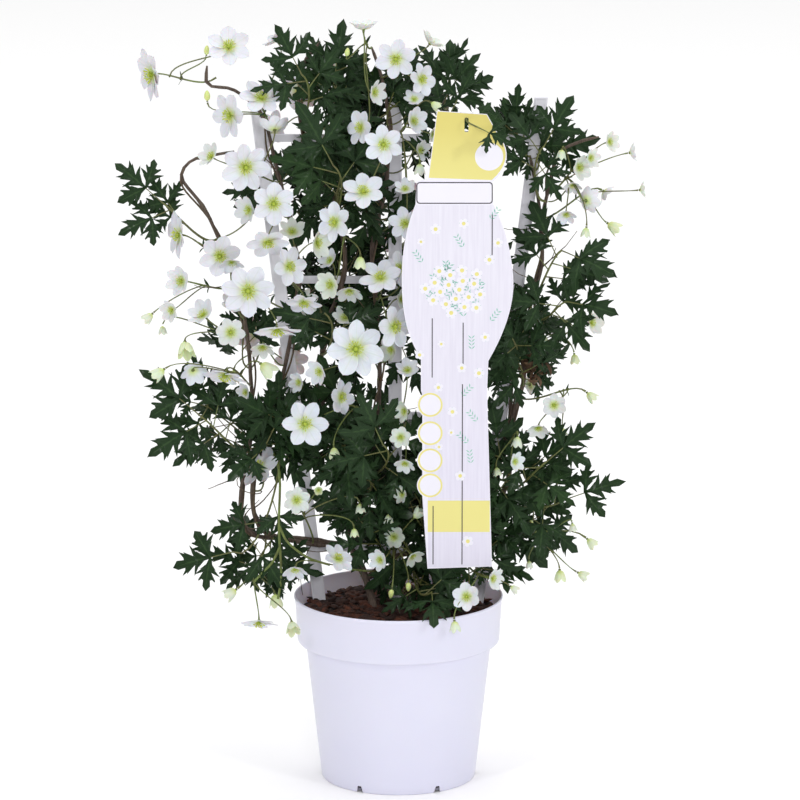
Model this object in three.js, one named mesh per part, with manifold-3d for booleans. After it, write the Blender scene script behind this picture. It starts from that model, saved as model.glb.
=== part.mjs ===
// A clematis in a 19 cm nursery pot, trained on a plastic fan trellis, with a card tag hung on a shoot.
// Millimetres, +Z up, the front towards -Y. The origin is the centre of the pot's base.
import * as THREE from "three";
import { mergeVertices } from "three/addons/utils/BufferGeometryUtils.js";
import Module from "manifold-3d";

const wasm = await Module();
wasm.setup();

// Pot
const POT_HEIGHT = 170;
const POT_BASE_R = 70;
const POT_SHOULDER_R = 84.4;
const POT_BAND_R = 92;
const POT_RIM_R = 95;
const POT_BAND_HEIGHT = 42;
const POT_WALL = 2;
const POT_FLOOR = 3;
const POT_SIDES = 30;
const DRAIN_HOLES = 6;
const DRAIN_R = 5;
const DRAIN_CIRCLE_R = 66;

// Soil
const SOIL_TOP = 154;
const SOIL_GAP = 0.35;
const SOIL_SHRINK = 0.8;
const SOIL_RINGS = 5;
const SOIL_SIDES = 20;
const BARK_RELIEF = 2.2;

// Trellis
const TRELLIS_Y = 22.5;
const SLAT_WIDTH = 12;
const SLAT_THICKNESS = 3;
const TRELLIS_TOP = 624;
const TRELLIS_TOP_X = 128;
const TRELLIS_SOIL_X = 74;
const TRELLIS_SOIL_Z = 172;
const LEG_TIP_Z = 70;
const LEG_TIP_WIDTH = 5;
const SPIKE_Z = 165;
const CROSS_BARS = [207, 331, 457, 587];
const CROSS_BAR_HEIGHT = 7;
const MIDDLE_X = -3;
const UPRIGHTS = [[-TRELLIS_TOP_X, -TRELLIS_SOIL_X], [MIDDLE_X, MIDDLE_X], [TRELLIS_TOP_X, TRELLIS_SOIL_X]];

// Card tag
const CARD_Y = -62;
const CARD_THICKNESS = 0.8;
const SLOT_X = 60;
const SLOT_TOP = 621;
const SLOT_HEIGHT = 13;
const SLOT_WIDTH = 3.6;
const CARRIER_R = 1.4;

// Plant
const GAP = 0.3;
const MOST_SCRAP = 2;
const HOLE_GAP = 0.9;
const GUARD = 0.45;
const TRUNK_R = 3.8;
const TRUNK_FOOT_Z = 100;
const TRUNK_LEAVES_SOIL = [-22.4, 2.4, 162];
const VINE_R = 2;
const STALK_R = 1;
const LATER_STALK_R = 0.7;
const FORK_R = 0.45;
const SHOOT_R = 1.4;
const BLADE_HALF = 0.45;
const DEPTH_STEPS = [0, -8, 8, -16, 16, -24, 24, -34, 34];
const DEPTH_RISE = 0.19;
const SAGS = [0, 0.18, -0.18, 0.34, -0.34, 0, 0.2, -0.2];
const HOPS = [0, 2, -2, 4, -4, 7, -7, 10];
const VINE_STEPS = 16;
const STEM_STEPS = 4;
const FIRST_STALK_STEPS = 4;
const LATER_STALK_STEPS = 2;
const WOBBLE = 0.35;
const FLOWER_ROOT = { inward: 0.85, back: 12, below: 26 };
const SHOOT_ROOT = { inward: 0.88, below: 45 };

// Leaf
const PETIOLE_SHARE = 0.36;
const PETIOLE_R = 0.5;
const NOTCH_SHARE = 0.045;
const NOTCH_ANGLES = [-2.3, -0.6, 0.6, 2.3];
const RIB_SHARE = 0.45;
const RIB_RISE = 0.05;
const DROOP = 0.24;
const LEAFLETS = [
  { angle: -1.2, reach: 0.52, lobes: [[0.56, 0.35], [0.63, 0.1]] },
  { angle: 0, reach: 0.64, lobes: [[0.44, 0.34], [0.54, 0.1], [0.76, 0.22], [0.82, 0.06]] },
  { angle: 1.2, reach: 0.52, lobes: [[0.56, 0.35], [0.63, 0.1]] },
];
const LEAF_BACK_Y = 35;
const LEAF_SPREAD = 0.62;
const SWINGS = [0, 0.45, -0.45, 0.9, -0.9, 1.4, -1.4];
const TILTS = [0, 0.5, -0.5];
const OUTWARD_RISE = 0.55;
const SHORTER = 0.72;
const LESS_PER_LEAF = 0.06;
const CARRIER_LEAF = 36;
const CARRIER_STEPS = 12;

const WHITE_PLASTIC = { color: 0xe9e8f2, roughness: 0.42, metalness: 0 };
const SOIL_BROWN = { color: 0x4a2c20, roughness: 0.95, metalness: 0 };
const BARK = { color: 0x6d5a48, roughness: 0.8, metalness: 0 };
const LEAF_GREEN = { color: 0x23401f, roughness: 0.4, metalness: 0 };
const PETAL_WHITE = { color: 0xf3f5ea, roughness: 0.6, metalness: 0 };
const CARD_WHITE = { color: 0xeceaf0, roughness: 0.5, metalness: 0 };

const at = (x, y, z) => new THREE.Vector3(x, y, z);

// Woody stems: the trunk's route, and each vine's, as points.
const TRUNK = [[-20, 0, TRUNK_FOOT_Z], [-21, 1, 126], [-22, 2, 152], [-30, 9, 182], [-44, 19, 211]];
const VINES = [
  [[-44, 19, 211], [-90, 20, 217], [-128, 20, 219], [-142, 20, 234], [-143, 20, 262], [-133, 20, 319],
    [-134, 20, 370], [-139, 20, 421], [-152, 18, 470], [-173, 16, 521], [-194, 12, 552], [-187, 10, 568],
    [-170, 10, 573], [-147, 12, 577]],
  [[-44, 19, 211], [-88, 16, 214], [-122, 15, 226], [-133, 15, 253], [-127, 15, 300], [-110, 15, 350],
    [-98, 15, 402], [-89, 15, 458], [-98, 15, 513], [-111, 15, 568], [-122, 15, 609], [-146, 13, 632],
    [-170, 10, 638], [-171, 10, 655]],
  [[-44, 19, 211], [-49, 20, 253], [-58, 20, 300], [-70, 20, 356], [-66, 20, 412], [-48, 20, 467],
    [-57, 20, 522], [-82, 20, 577], [-89, 20, 622], [-85, 18, 655], [-70, 14, 676]],
  [[-44, 19, 211], [-28, 16, 253], [-21, 15, 309], [-17, 15, 365], [-19, 15, 430], [-24, 15, 485],
    [-12, 15, 540], [-8, 15, 595], [-14, 14, 640], [-24, 10, 672]],
  [[-30, 9, 182], [-6, 14, 200], [29, 18, 214], [51, 20, 272], [58, 20, 347], [62, 20, 412],
    [66, 20, 476], [64, 20, 540], [52, 20, 586], [38, 15, 630]],
  [[-30, 9, 182], [4, 10, 193], [47, 14, 200], [79, 17, 234], [91, 20, 281], [101, 20, 330],
    [103, 20, 378], [112, 20, 425], [125, 20, 462], [130, 20, 494], [125, 20, 536], [118, 19, 572]],
  [[79, 17, 234], [100, 14, 275], [101, 13, 320], [112, 12, 361], [115, 12, 391], [118, 12, 430],
    [129, 12, 474], [128, 12, 508], [134, 12, 540], [143, 10, 574], [160, 6, 586], [179, 2, 592]],
];

// Flower sprays: each flower's centre, its span, its stage and the way it faces
// (F front, B back, L left, R right, U up, D down). The first flower's stalk carries the others.
const SPRAYS = {
  spray_star: [[-219, 0, 649, 50, "open", "LLF"], [-151, -4, 674, 42, "open", "FU"],
    [-171, -2, 667, 10, "bud", "U"]],
  spray_crown_left: [[-122, -22, 631, 42, "open", "FU"], [-149, -28, 617, 44, "open", "FL"],
    [-170, -16, 628, 11, "bud", "U"], [-109, -14, 682, 26, "half", "UL"]],
  spray_shoulder: [[-136, -32, 571, 46, "open", "F"], [-166, -26, 579, 28, "half", "FLU"],
    [-110, -28, 604, 32, "half", "BU"]],
  spray_heart: [[-111, -42, 540, 41, "open", "F"], [-116, -44, 506, 40, "open", "FD"]],
  spray_inner_left: [[-98, -38, 482, 38, "open", "FR"], [-73, -36, 503, 32, "half", "FR"],
    [-84, -48, 452, 34, "open", "FD"]],
  spray_left_side: [[-196, -10, 505, 44, "open", "LLF"], [-160, -20, 488, 39, "open", "F"]],
  spray_big_left: [[-134, -52, 463, 50, "open", "F"], [-108, -60, 430, 44, "open", "FDD"]],
  spray_left_cup: [[-194, -20, 465, 31, "half", "FL"], [-203, -18, 438, 24, "half", "LF"],
    [-221, -16, 434, 18, "bell", "LD"]],
  spray_left_mid: [[-174, -36, 437, 32, "half", "FLU"], [-150, -38, 422, 31, "half", "F"],
    [-191, -34, 412, 28, "bell", "DF"]],
  spray_left_low: [[-155, -40, 384, 42, "open", "DDF"], [-184, -34, 386, 28, "half", "BD"],
    [-210, -38, 388, 22, "bell", "LD"], [-123, -42, 394, 28, "bell", "DR"]],
  spray_crest: [[-31, -14, 692, 30, "half", "U"], [-22, -24, 637, 27, "half", "FR"],
    [-33, -30, 606, 34, "open", "FL"], [-46, -16, 668, 9, "bud", "U"]],
  spray_top: [[-2, -30, 668, 38, "open", "F"], [28, -20, 680, 28, "half", "RU"],
    [20, -34, 650, 32, "open", "FR"]],
  spray_mid: [[-13, -46, 594, 38, "open", "F"], [-31, -46, 551, 40, "open", "FU"]],
  spray_card_edge: [[13, -34, 613, 28, "half", "FR"], [30, -34, 601, 18, "half", "FR"],
    [29, -32, 629, 16, "bell", "RD"], [19, -38, 575, 18, "bell", "D"], [6, -40, 552, 23, "half", "FU"],
    [6, -42, 522, 32, "open", "F"]],
  spray_mid_left: [[-56, -42, 523, 38, "open", "FL"], [-34, -44, 492, 20, "bell", "D"],
    [-60, -40, 466, 30, "half", "LF"]],
  spray_centre: [[-16, -46, 473, 40, "open", "FU"], [-4, -50, 430, 42, "open", "FR"]],
  spray_largest: [[-38, -52, 410, 54, "open", "F"], [-70, -46, 388, 28, "half", "FL"]],
  spray_lower_mid: [[-52, -44, 364, 34, "open", "FR"], [-84, -48, 340, 44, "open", "F"],
    [-58, -42, 317, 18, "bell", "D"]],
  spray_alone: [[-126, -14, 291, 44, "open", "FLU"]],
  spray_lower: [[-92, -32, 266, 29, "half", "F"], [-72, -30, 275, 14, "bell", "F"],
    [-35, -30, 262, 16, "bell", "D"], [-40, -34, 240, 14, "bell", "D"]],
  spray_foot: [[-55, -44, 214, 33, "open", "FRU"], [-93, -42, 205, 27, "half", "FD"]],
  spray_over_rim: [[-147, -30, 182, 22, "bell", "LD"], [-126, -44, 156, 36, "open", "FDD"],
    [-112, -24, 176, 22, "bell", "D"], [-96, -62, 160, 23, "bell", "DF"]],
  spray_by_card: [[-4, -40, 232, 24, "half", "F"], [-16, -42, 213, 24, "half", "FL"],
    [12, -42, 217, 23, "half", "FRD"], [9, -46, 193, 10, "bud", "D"], [-6, -48, 187, 10, "bud", "D"],
    [14, -38, 250, 20, "bell", "UR"]],
  spray_card_side: [[6, -40, 350, 23, "half", "FL"], [2, -44, 327, 23, "half", "F"],
    [6, -38, 302, 22, "half", "FD"], [8, -44, 388, 25, "half", "FU"]],
  spray_right_top: [[161, -2, 565, 27, "half", "FR"], [146, -6, 582, 16, "bell", "D"],
    [188, -2, 588, 22, "half", "RF"], [207, 0, 578, 20, "half", "R"], [168, -8, 536, 28, "half", "BR"],
    [150, -8, 524, 22, "half", "FD"], [168, -6, 511, 16, "bell", "D"]],
  spray_right_tip: [[184, 10, 541, 21, "half", "RD"], [188, 8, 512, 22, "bell", "RD"],
    [216, 6, 543, 18, "half", "R"]],
  spray_right_upper: [[173, -8, 424, 27, "half", "RF"], [158, -12, 396, 16, "bell", "D"],
    [132, -14, 411, 20, "bell", "DF"], [120, -12, 436, 12, "bud", "F"]],
  spray_right_mid: [[170, -10, 360, 18, "bell", "RD"], [140, -16, 350, 26, "half", "F"],
    [126, -18, 330, 24, "half", "FD"], [148, -12, 328, 14, "bell", "D"]],
  spray_card_right: [[107, -34, 325, 18, "bell", "D"], [104, -38, 303, 21, "half", "FR"],
    [88, -32, 296, 14, "bell", "D"]],
  spray_right_low: [[171, -18, 226, 18, "bell", "RD"], [157, -14, 240, 14, "bell", "D"],
    [146, -18, 197, 20, "bell", "D"], [163, -12, 193, 18, "bell", "RD"], [120, -16, 237, 8, "bud", "U"],
    [118, -20, 206, 12, "bell", "D"]],
  spray_front_rim: [[84, -66, 202, 24, "half", "FR"], [101, -74, 196, 14, "bell", "RD"],
    [61, -84, 190, 30, "half", "F"], [50, -104, 172, 18, "bell", "D"]],
  spray_back_top: [[-90, 62, 622, 40, "open", "B"], [-58, 58, 640, 28, "half", "BU"],
    [-112, 64, 588, 36, "open", "BL"]],
  spray_back_mid: [[10, 66, 520, 40, "open", "B"], [44, 62, 494, 32, "half", "BR"],
    [-20, 70, 486, 36, "open", "BD"]],
  spray_back_left: [[-130, 60, 400, 42, "open", "BL"], [-98, 66, 372, 34, "open", "B"],
    [-150, 56, 366, 22, "bell", "D"]],
  spray_back_right: [[96, 62, 380, 36, "open", "B"], [120, 58, 352, 26, "half", "BR"],
    [74, 64, 346, 22, "bell", "BD"]],
  spray_back_low: [[-30, 68, 262, 36, "open", "B"], [8, 64, 236, 24, "half", "BD"]],
};

// Leafy shoots: where the tip reaches, how long the leaves are, and how many there are.
const SHOOTS = {
  shoot_top_left: [[-86, -18, 652], 52, 5],
  shoot_top_mid: [[-58, -6, 640], 58, 5],
  shoot_crown: [[-58, -30, 572], 66, 5],
  shoot_card_top: [[46, -26, 618], 46, 4],
  shoot_right_top: [[130, -10, 586], 50, 5],
  shoot_right_upper: [[146, -16, 492], 60, 5],
  shoot_right_mid: [[150, -18, 446], 58, 4],
  shoot_right_low: [[134, -24, 300], 56, 4],
  shoot_right_foot: [[150, -16, 262], 56, 4],
  shoot_left_upper: [[-212, -6, 534], 54, 4],
  shoot_left_mid: [[-180, -26, 344], 64, 5],
  shoot_centre_left: [[-66, -40, 440], 58, 4],
  shoot_centre: [[-14, -44, 320], 64, 5],
  shoot_left_foot: [[-150, -26, 216], 58, 4],
  shoot_front: [[30, -54, 186], 54, 5],
  shoot_back_upper: [[-10, 66, 590], 64, 4],
  shoot_back_mid: [[-50, 66, 430], 66, 4],
  shoot_back_right: [[70, 66, 430], 62, 4],
};

// Seeded draws between 0 and 1, the same on every run.
function draws(seed) {
  let state = seed >>> 0;
  return () => {
    state = (state + 0x6d2b79f5) >>> 0;
    let mixed = Math.imul(state ^ (state >>> 15), state | 1);
    mixed ^= mixed + Math.imul(mixed ^ (mixed >>> 7), mixed | 61);
    return ((mixed ^ (mixed >>> 14)) >>> 0) / 4294967296;
  };
}

// A closed geometry as a solid, with its shared corners merged.
function solidOf(geometry) {
  const bare = geometry.index ? geometry.toNonIndexed() : geometry.clone();
  bare.deleteAttribute("normal");
  bare.deleteAttribute("uv");
  const merged = mergeVertices(bare, 1e-3);
  const corners = merged.index.array;
  const kept = [];
  for (let i = 0; i < corners.length; i += 3) {
    const [a, b, c] = [corners[i], corners[i + 1], corners[i + 2]];
    if (a !== b && b !== c && c !== a) kept.push(a, b, c);
  }
  const mesh = new wasm.Mesh({
    numProp: 3,
    vertProperties: merged.attributes.position.array,
    triVerts: new Uint32Array(kept),
  });
  return new wasm.Manifold(mesh);
}

// A closed list of triangles as a solid.
function solidOfTriangles(triangles) {
  return solidOf(new THREE.BufferGeometry().setFromPoints(triangles.flat()));
}

// A solid as a geometry, its corners on a grid of a thousandth and collapsed faces dropped.
function geometryOf(solid) {
  const mesh = solid.getMesh();
  const positions = new Float32Array(mesh.triVerts.length * 3);
  let used = 0;
  for (let i = 0; i < mesh.triVerts.length; i += 3) {
    const corners = [0, 1, 2].map((k) => {
      const start = mesh.triVerts[i + k] * mesh.numProp;
      return [0, 1, 2].map((axis) => Math.round(mesh.vertProperties[start + axis] * 1000) / 1000);
    });
    const [a, b, c] = corners.map(String);
    if (a === b || b === c || c === a) continue;
    positions.set(corners.flat(), used);
    used += 9;
  }
  const geometry = new THREE.BufferGeometry();
  geometry.setAttribute("position", new THREE.BufferAttribute(positions.slice(0, used), 3));
  geometry.computeVertexNormals();
  return geometry;
}

// A round rod along a curve, with flat ends.
function rod(curve, radius, sides, steps) {
  const section = new THREE.Shape();
  for (let i = 0; i < sides; i++) {
    const angle = (2 * Math.PI * i) / sides;
    section[i ? "lineTo" : "moveTo"](radius * Math.cos(angle), radius * Math.sin(angle));
  }
  const options = { steps, bevelEnabled: false, extrudePath: curve };
  return solidOf(new THREE.ExtrudeGeometry(section, options));
}

// The spot at a share of the straight runs between a rod's rings, and the way the rod heads there.
function onRod(curve, steps, share) {
  const rings = curve.getSpacedPoints(steps);
  const i = Math.min(Math.floor(share * steps), steps - 1);
  const along = rings[i + 1].clone().sub(rings[i]).normalize();
  return { spot: rings[i].clone().lerp(rings[i + 1], share * steps - i), along };
}

// A flat plate standing across Y, cut from an outline in X and Z.
function plate(shape, frontY, thickness, curveSegments = 3) {
  const options = { depth: thickness, bevelEnabled: false, curveSegments };
  const geometry = new THREE.ExtrudeGeometry(shape, options);
  geometry.rotateX(Math.PI / 2);
  geometry.translate(0, frontY + thickness, 0);
  return solidOf(geometry);
}

function polygon(points) {
  return new THREE.Shape(points.map(([x, z]) => new THREE.Vector2(x, z)));
}

// The smooth route through a list of points.
function route(points) {
  return new THREE.CatmullRomCurve3(points.map((p) => at(...p)), false, "catmullrom", 0.5);
}

// Everything placed so far, which later leaves and flowers stay clear of.
const group = new THREE.Group();
const placed = [];

function boxOf(solid) {
  const { min, max } = solid.boundingBox();
  return new THREE.Box3(at(...min), at(...max));
}

// Files a node: its largest body, so that no scrap or sealed pocket from the joining stays.
function add(name, joined, look) {
  const bodies = joined.decompose().sort((a, b) => b.volume() - a.volume());
  const solid = bodies[0];
  const scrap = bodies.slice(1).reduce((sum, body) => sum + Math.abs(body.volume()), 0);
  if (scrap > MOST_SCRAP) throw new Error(`${name} isn't joined: ${scrap.toFixed(1)} mm3 apart`);
  const mesh = new THREE.Mesh(geometryOf(solid), new THREE.MeshStandardMaterial(look));
  mesh.name = name;
  group.add(mesh);
  placed.push({ solid, box: boxOf(solid) });
}

function isClear(guard, others) {
  const box = boxOf(guard);
  return others.every((other) => !box.intersectsBox(other.box) || guard.intersect(other.solid).isEmpty());
}

function makePot() {
  const shoulder = POT_HEIGHT - POT_BAND_HEIGHT;
  const profile = [
    [0, 0], [POT_BASE_R, 0], [POT_SHOULDER_R, shoulder - 3], [POT_BAND_R - 1.5, shoulder],
    [POT_BAND_R, shoulder + 1.5], [POT_RIM_R - 0.8, POT_HEIGHT - 3], [POT_RIM_R, POT_HEIGHT - 2.6],
    [POT_RIM_R, POT_HEIGHT], [POT_RIM_R - POT_WALL, POT_HEIGHT],
    [POT_BAND_R - POT_WALL, shoulder + 2.5], [POT_SHOULDER_R - POT_WALL, shoulder - 1],
    [POT_BASE_R - POT_WALL, POT_FLOOR], [0, POT_FLOOR],
  ].map(([r, z]) => new THREE.Vector2(r, z));
  const lathe = new THREE.LatheGeometry(profile, POT_SIDES);
  lathe.rotateX(Math.PI / 2);
  let pot = solidOf(lathe);
  for (let i = 0; i < DRAIN_HOLES; i++) {
    const angle = (2 * Math.PI * i) / DRAIN_HOLES;
    const cutter = new THREE.CylinderGeometry(DRAIN_R, DRAIN_R, 4 * POT_FLOOR, 6);
    cutter.rotateX(Math.PI / 2);
    cutter.translate(DRAIN_CIRCLE_R * Math.cos(angle), DRAIN_CIRCLE_R * Math.sin(angle), 0);
    pot = pot.subtract(solidOf(cutter));
  }
  return pot;
}

// The height of the bark at a point of the soil's top.
function barkHeight(x, y) {
  const coarse = Math.sin(x * 0.31 + 1.3) * Math.cos(y * 0.27 - 0.4);
  const fine = Math.sin(x * 0.83 - y * 0.61) * Math.cos(y * 0.94 + x * 0.22);
  return SOIL_TOP + BARK_RELIEF * (coarse + 0.7 * fine);
}

function makeSoil() {
  const shoulder = POT_HEIGHT - POT_BAND_HEIGHT;
  const inset = POT_WALL + 2 * SOIL_GAP;
  const lean = (POT_RIM_R - POT_BAND_R) / POT_BAND_HEIGHT;
  const topR = POT_BAND_R + lean * (SOIL_TOP - shoulder) - inset - SOIL_SHRINK;
  const profile = [
    [0, POT_FLOOR + SOIL_GAP], [POT_BASE_R - inset, POT_FLOOR + SOIL_GAP],
    [POT_SHOULDER_R - inset - 0.4, shoulder - 0.5], [POT_BAND_R - inset - SOIL_SHRINK, shoulder + 4],
  ];
  for (let i = SOIL_RINGS; i >= 0; i--) profile.push([(topR * i) / SOIL_RINGS, SOIL_TOP]);
  const lathe = new THREE.LatheGeometry(profile.map(([r, z]) => new THREE.Vector2(r, z)), SOIL_SIDES);
  lathe.rotateX(Math.PI / 2);
  const spots = lathe.attributes.position;
  for (let i = 0; i < spots.count; i++) {
    if (spots.getZ(i) > SOIL_TOP - 1) spots.setZ(i, barkHeight(spots.getX(i), spots.getY(i)));
  }
  let soil = solidOf(lathe);
  const foot = new THREE.LineCurve3(at(...TRUNK[0]).setZ(TRUNK_FOOT_Z - GAP), at(...TRUNK_LEAVES_SOIL));
  soil = soil.subtract(rod(foot, TRUNK_R + HOLE_GAP, 10, 1));
  for (const [topX, soilX] of UPRIGHTS) {
    soil = soil.subtract(plate(upright(topX, soilX, GAP), TRELLIS_Y - GAP, SLAT_THICKNESS + 2 * GAP));
  }
  return soil;
}

// An upright of the trellis, from its spike in the soil to its top, or the hole that takes it.
function upright(topX, soilX, gap = 0) {
  const slope = (topX - soilX) / (TRELLIS_TOP - TRELLIS_SOIL_Z);
  const xAt = (z) => soilX + slope * (z - TRELLIS_SOIL_Z);
  const half = SLAT_WIDTH / 2 + gap;
  const tip = LEG_TIP_WIDTH / 2 + gap;
  const tipZ = LEG_TIP_Z - gap;
  return polygon([
    [xAt(TRELLIS_TOP) + half, TRELLIS_TOP], [xAt(TRELLIS_TOP) - half, TRELLIS_TOP],
    [xAt(SPIKE_Z) - half, SPIKE_Z], [xAt(tipZ) - tip, tipZ],
    [xAt(tipZ) + tip, tipZ], [xAt(SPIKE_Z) + half, SPIKE_Z],
  ]);
}

function crossBar(z) {
  const share = (z - TRELLIS_SOIL_Z) / (TRELLIS_TOP - TRELLIS_SOIL_Z);
  const reach = TRELLIS_SOIL_X + (TRELLIS_TOP_X - TRELLIS_SOIL_X) * share;
  const half = CROSS_BAR_HEIGHT / 2;
  return polygon([[-reach, z - half], [reach, z - half], [reach, z + half], [-reach, z + half]]);
}

function makeTrellis() {
  const slats = [
    ...UPRIGHTS.map(([topX, soilX]) => plate(upright(topX, soilX), TRELLIS_Y, SLAT_THICKNESS)),
    ...CROSS_BARS.map((z) => plate(crossBar(z), TRELLIS_Y + 0.5, SLAT_THICKNESS - 1)),
  ];
  return slats.reduce((whole, slat) => whole.add(slat));
}

// The die-cut card: a header, a name bar, a board with a waist, and a long foot with a scalloped edge.
function cardShape() {
  const card = new THREE.Shape();
  card.moveTo(34, 627);
  card.lineTo(26, 566);
  card.lineTo(16, 564);
  card.lineTo(15, 543);
  card.quadraticCurveTo(2, 510, 3, 471);
  card.quadraticCurveTo(3, 430, 20, 403);
  card.lineTo(20, 374);
  for (const z of [361, 335, 310, 287]) card.absarc(28, z, 11.5, Math.PI * 0.7, Math.PI * 1.3, false);
  card.lineTo(26, 210);
  card.lineTo(84, 212);
  card.lineTo(79, 373);
  card.lineTo(80, 401);
  card.quadraticCurveTo(102, 440, 102, 471);
  card.quadraticCurveTo(101, 510, 84, 543);
  card.lineTo(83, 563);
  card.quadraticCurveTo(106, 584, 87, 608);
  card.lineTo(78, 624);
  const slot = new THREE.Path();
  slot.moveTo(SLOT_X - SLOT_WIDTH / 2, SLOT_TOP);
  slot.lineTo(SLOT_X + SLOT_WIDTH / 2, SLOT_TOP);
  slot.lineTo(SLOT_X + SLOT_WIDTH / 2, SLOT_TOP - SLOT_HEIGHT);
  slot.lineTo(SLOT_X - SLOT_WIDTH / 2, SLOT_TOP - SLOT_HEIGHT);
  card.holes.push(slot);
  return card;
}

const VINE_ROUTES = VINES.map(route);

function makeVines() {
  const trunk = rod(route(TRUNK), TRUNK_R, 7, 7);
  return VINE_ROUTES.reduce((whole, vine) => whole.add(rod(vine, VINE_R, 5, VINE_STEPS)), trunk);
}

// Where stalks may start: spots spread along each vine, past its own start.
const ROOT_SPOTS = VINE_ROUTES.map((vine) => {
  const shares = Array.from({ length: 2 * VINE_STEPS - 1 }, (_, i) => (i + 2) / (2 * VINE_STEPS));
  return shares.map((share) => onRod(vine, VINE_STEPS, share));
});

// The root on a vine's side that is nearest to a target, or a few spots along from it.
function rootNear(target, hop) {
  let best = { distance: Infinity };
  ROOT_SPOTS.forEach((spots) => {
    spots.forEach(({ spot }, i) => {
      const distance = spot.distanceTo(target);
      if (distance < best.distance) best = { spots, i, distance };
    });
  });
  const last = best.spots.length - 1;
  const { spot, along } = best.spots[Math.min(Math.max(best.i + hop, 0), last)];
  const out = target.clone().sub(spot);
  out.addScaledVector(along, -out.dot(along)).normalize();
  return { base: spot.clone().addScaledVector(out, VINE_R + GAP), out };
}

const FACES = { F: [0, -1, 0], B: [0, 1, 0], L: [-1, 0, 0], R: [1, 0, 0], U: [0, 0, 1], D: [0, 0, -1] };

// The direction that a word such as "FLU" names, a little to the front-left and up.
function facing(word) {
  const sum = at(0, 0, 0.12);
  for (const letter of word) sum.add(at(...FACES[letter]));
  return sum.normalize();
}

// Flower stages: petals, one petal's edge as shares of its half width and of its length, how far
// the tips rise and spread as shares of the length, and how high the middle stands.
const STAGES = {
  open: {
    petals: 6, rise: 0.16, spread: 1, top: 0.26,
    edge: [[-1, 0.42], [-0.62, 0.78], [0, 1], [0.62, 0.78]],
  },
  half: {
    petals: 5, rise: 0.5, spread: 0.9, top: 0.2,
    edge: [[-1, 0.5], [-0.6, 0.82], [0, 1], [0.6, 0.82]],
  },
  bell: { petals: 4, rise: 1.1, spread: 0.62, top: 0.75, edge: [[-1, 0.78], [0, 1]] },
  bud: { petals: 4, rise: 0.8, spread: 0.5, top: 1.7, edge: [[0, 1]] },
};
const BOSS_SHARE = 0.24;
const BOSS_SPAN = 38;
const CALYX_DEPTH = 1.8;
const STALK_ANGLES = [0, (2 * Math.PI) / 3, (4 * Math.PI) / 3];

// The turn that takes +Z to a direction, after a spin about +Z.
function turnTo(direction, spin) {
  const turn = new THREE.Quaternion().setFromUnitVectors(at(0, 0, 1), direction);
  return turn.multiply(new THREE.Quaternion().setFromAxisAngle(at(0, 0, 1), spin));
}

function moved(triangles, turn, centre) {
  return triangles.map((corners) => corners.map((p) => p.clone().applyQuaternion(turn).add(centre)));
}

// Rings of three corners along a stalk, carried back from its flower without twist.
function stalkRings(stalk, steps, radius, rootRadius, turn) {
  const rings = [];
  const side = at(1, 0, 0).applyQuaternion(turn);
  let heading = at(0, 0, 1).applyQuaternion(turn);
  for (let i = steps; i >= 0; i--) {
    const tangent = stalk.getTangentAt(i / steps);
    side.applyQuaternion(new THREE.Quaternion().setFromUnitVectors(heading, tangent));
    heading = tangent;
    const centre = stalk.getPointAt(i / steps);
    const spoke = side.clone().multiplyScalar(i ? radius : rootRadius);
    rings.unshift(STALK_ANGLES.map((angle) => spoke.clone().applyAxisAngle(tangent, angle).add(centre)));
  }
  return rings;
}

// A flower's head on the last of its stalk's rings: a fan of pointed petals on each side of one edge.
function flowerTriangles(span, stage, centre, turn, rings, grow) {
  const { petals, edge, rise, spread, top } = STAGES[stage];
  const bossed = stage === "open" && span >= BOSS_SPAN;
  const reach = span / 2 + grow;
  const place = (x, y, z) => at(x, y, z).applyQuaternion(turn).add(centre);
  const rim = [];
  for (let i = 0; i < petals; i++) {
    for (const [aside, share] of edge) {
      const angle = (Math.PI * (2 * i + aside)) / petals;
      const out = reach * spread * share;
      const z = reach * rise * share * share;
      const stalkCorner = ((Math.round((angle * 3) / (2 * Math.PI)) % 3) + 3) % 3;
      const spot = (lift) => place(out * Math.cos(angle), out * Math.sin(angle), z + lift);
      rim.push({ petal: i, stalkCorner, upper: spot(grow), lower: spot(-grow) });
    }
  }
  const peak = place(0, 0, reach * top + grow);
  const boss = Array.from({ length: petals }, (_, i) => {
    const angle = (Math.PI * (2 * i - 1)) / petals;
    const out = reach * BOSS_SHARE;
    return place(out * Math.cos(angle), out * Math.sin(angle), 2 * BLADE_HALF + grow);
  });
  const collar = rings[rings.length - 1];
  const triangles = [];
  rim.forEach((here, i) => {
    const next = rim[(i + 1) % rim.length];
    const inner = bossed ? boss[here.petal] : peak;
    triangles.push([inner, here.upper, next.upper]);
    if (bossed && next.petal !== here.petal) triangles.push([inner, next.upper, boss[next.petal]]);
    triangles.push([collar[here.stalkCorner], next.lower, here.lower]);
    triangles.push([collar[here.stalkCorner], collar[next.stalkCorner], next.lower]);
    triangles.push([here.lower, next.lower, next.upper], [here.lower, next.upper, here.upper]);
  });
  if (bossed) boss.forEach((p, i) => triangles.push([peak, p, boss[(i + 1) % petals]]));
  rings.slice(1).forEach((above, i) => {
    const below = rings[i];
    for (let k = 0; k < 3; k++) {
      const n = (k + 1) % 3;
      triangles.push([below[k], below[n], above[n]], [below[k], above[n], above[k]]);
    }
  });
  triangles.push([rings[0][0], rings[0][2], rings[0][1]]);
  return triangles;
}

// A stalk that leaves its root outwards and reaches its end along a direction.
function stalkTo(root, end, direction, sag) {
  const length = root.base.distanceTo(end);
  const first = root.base.clone().addScaledVector(root.out, 0.3 * length);
  const last = end.clone().addScaledVector(direction, -0.25 * length);
  first.x += sag * length;
  last.z += 0.4 * Math.abs(sag) * length;
  return new THREE.CubicBezierCurve3(root.base, first, last, end);
}

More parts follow.
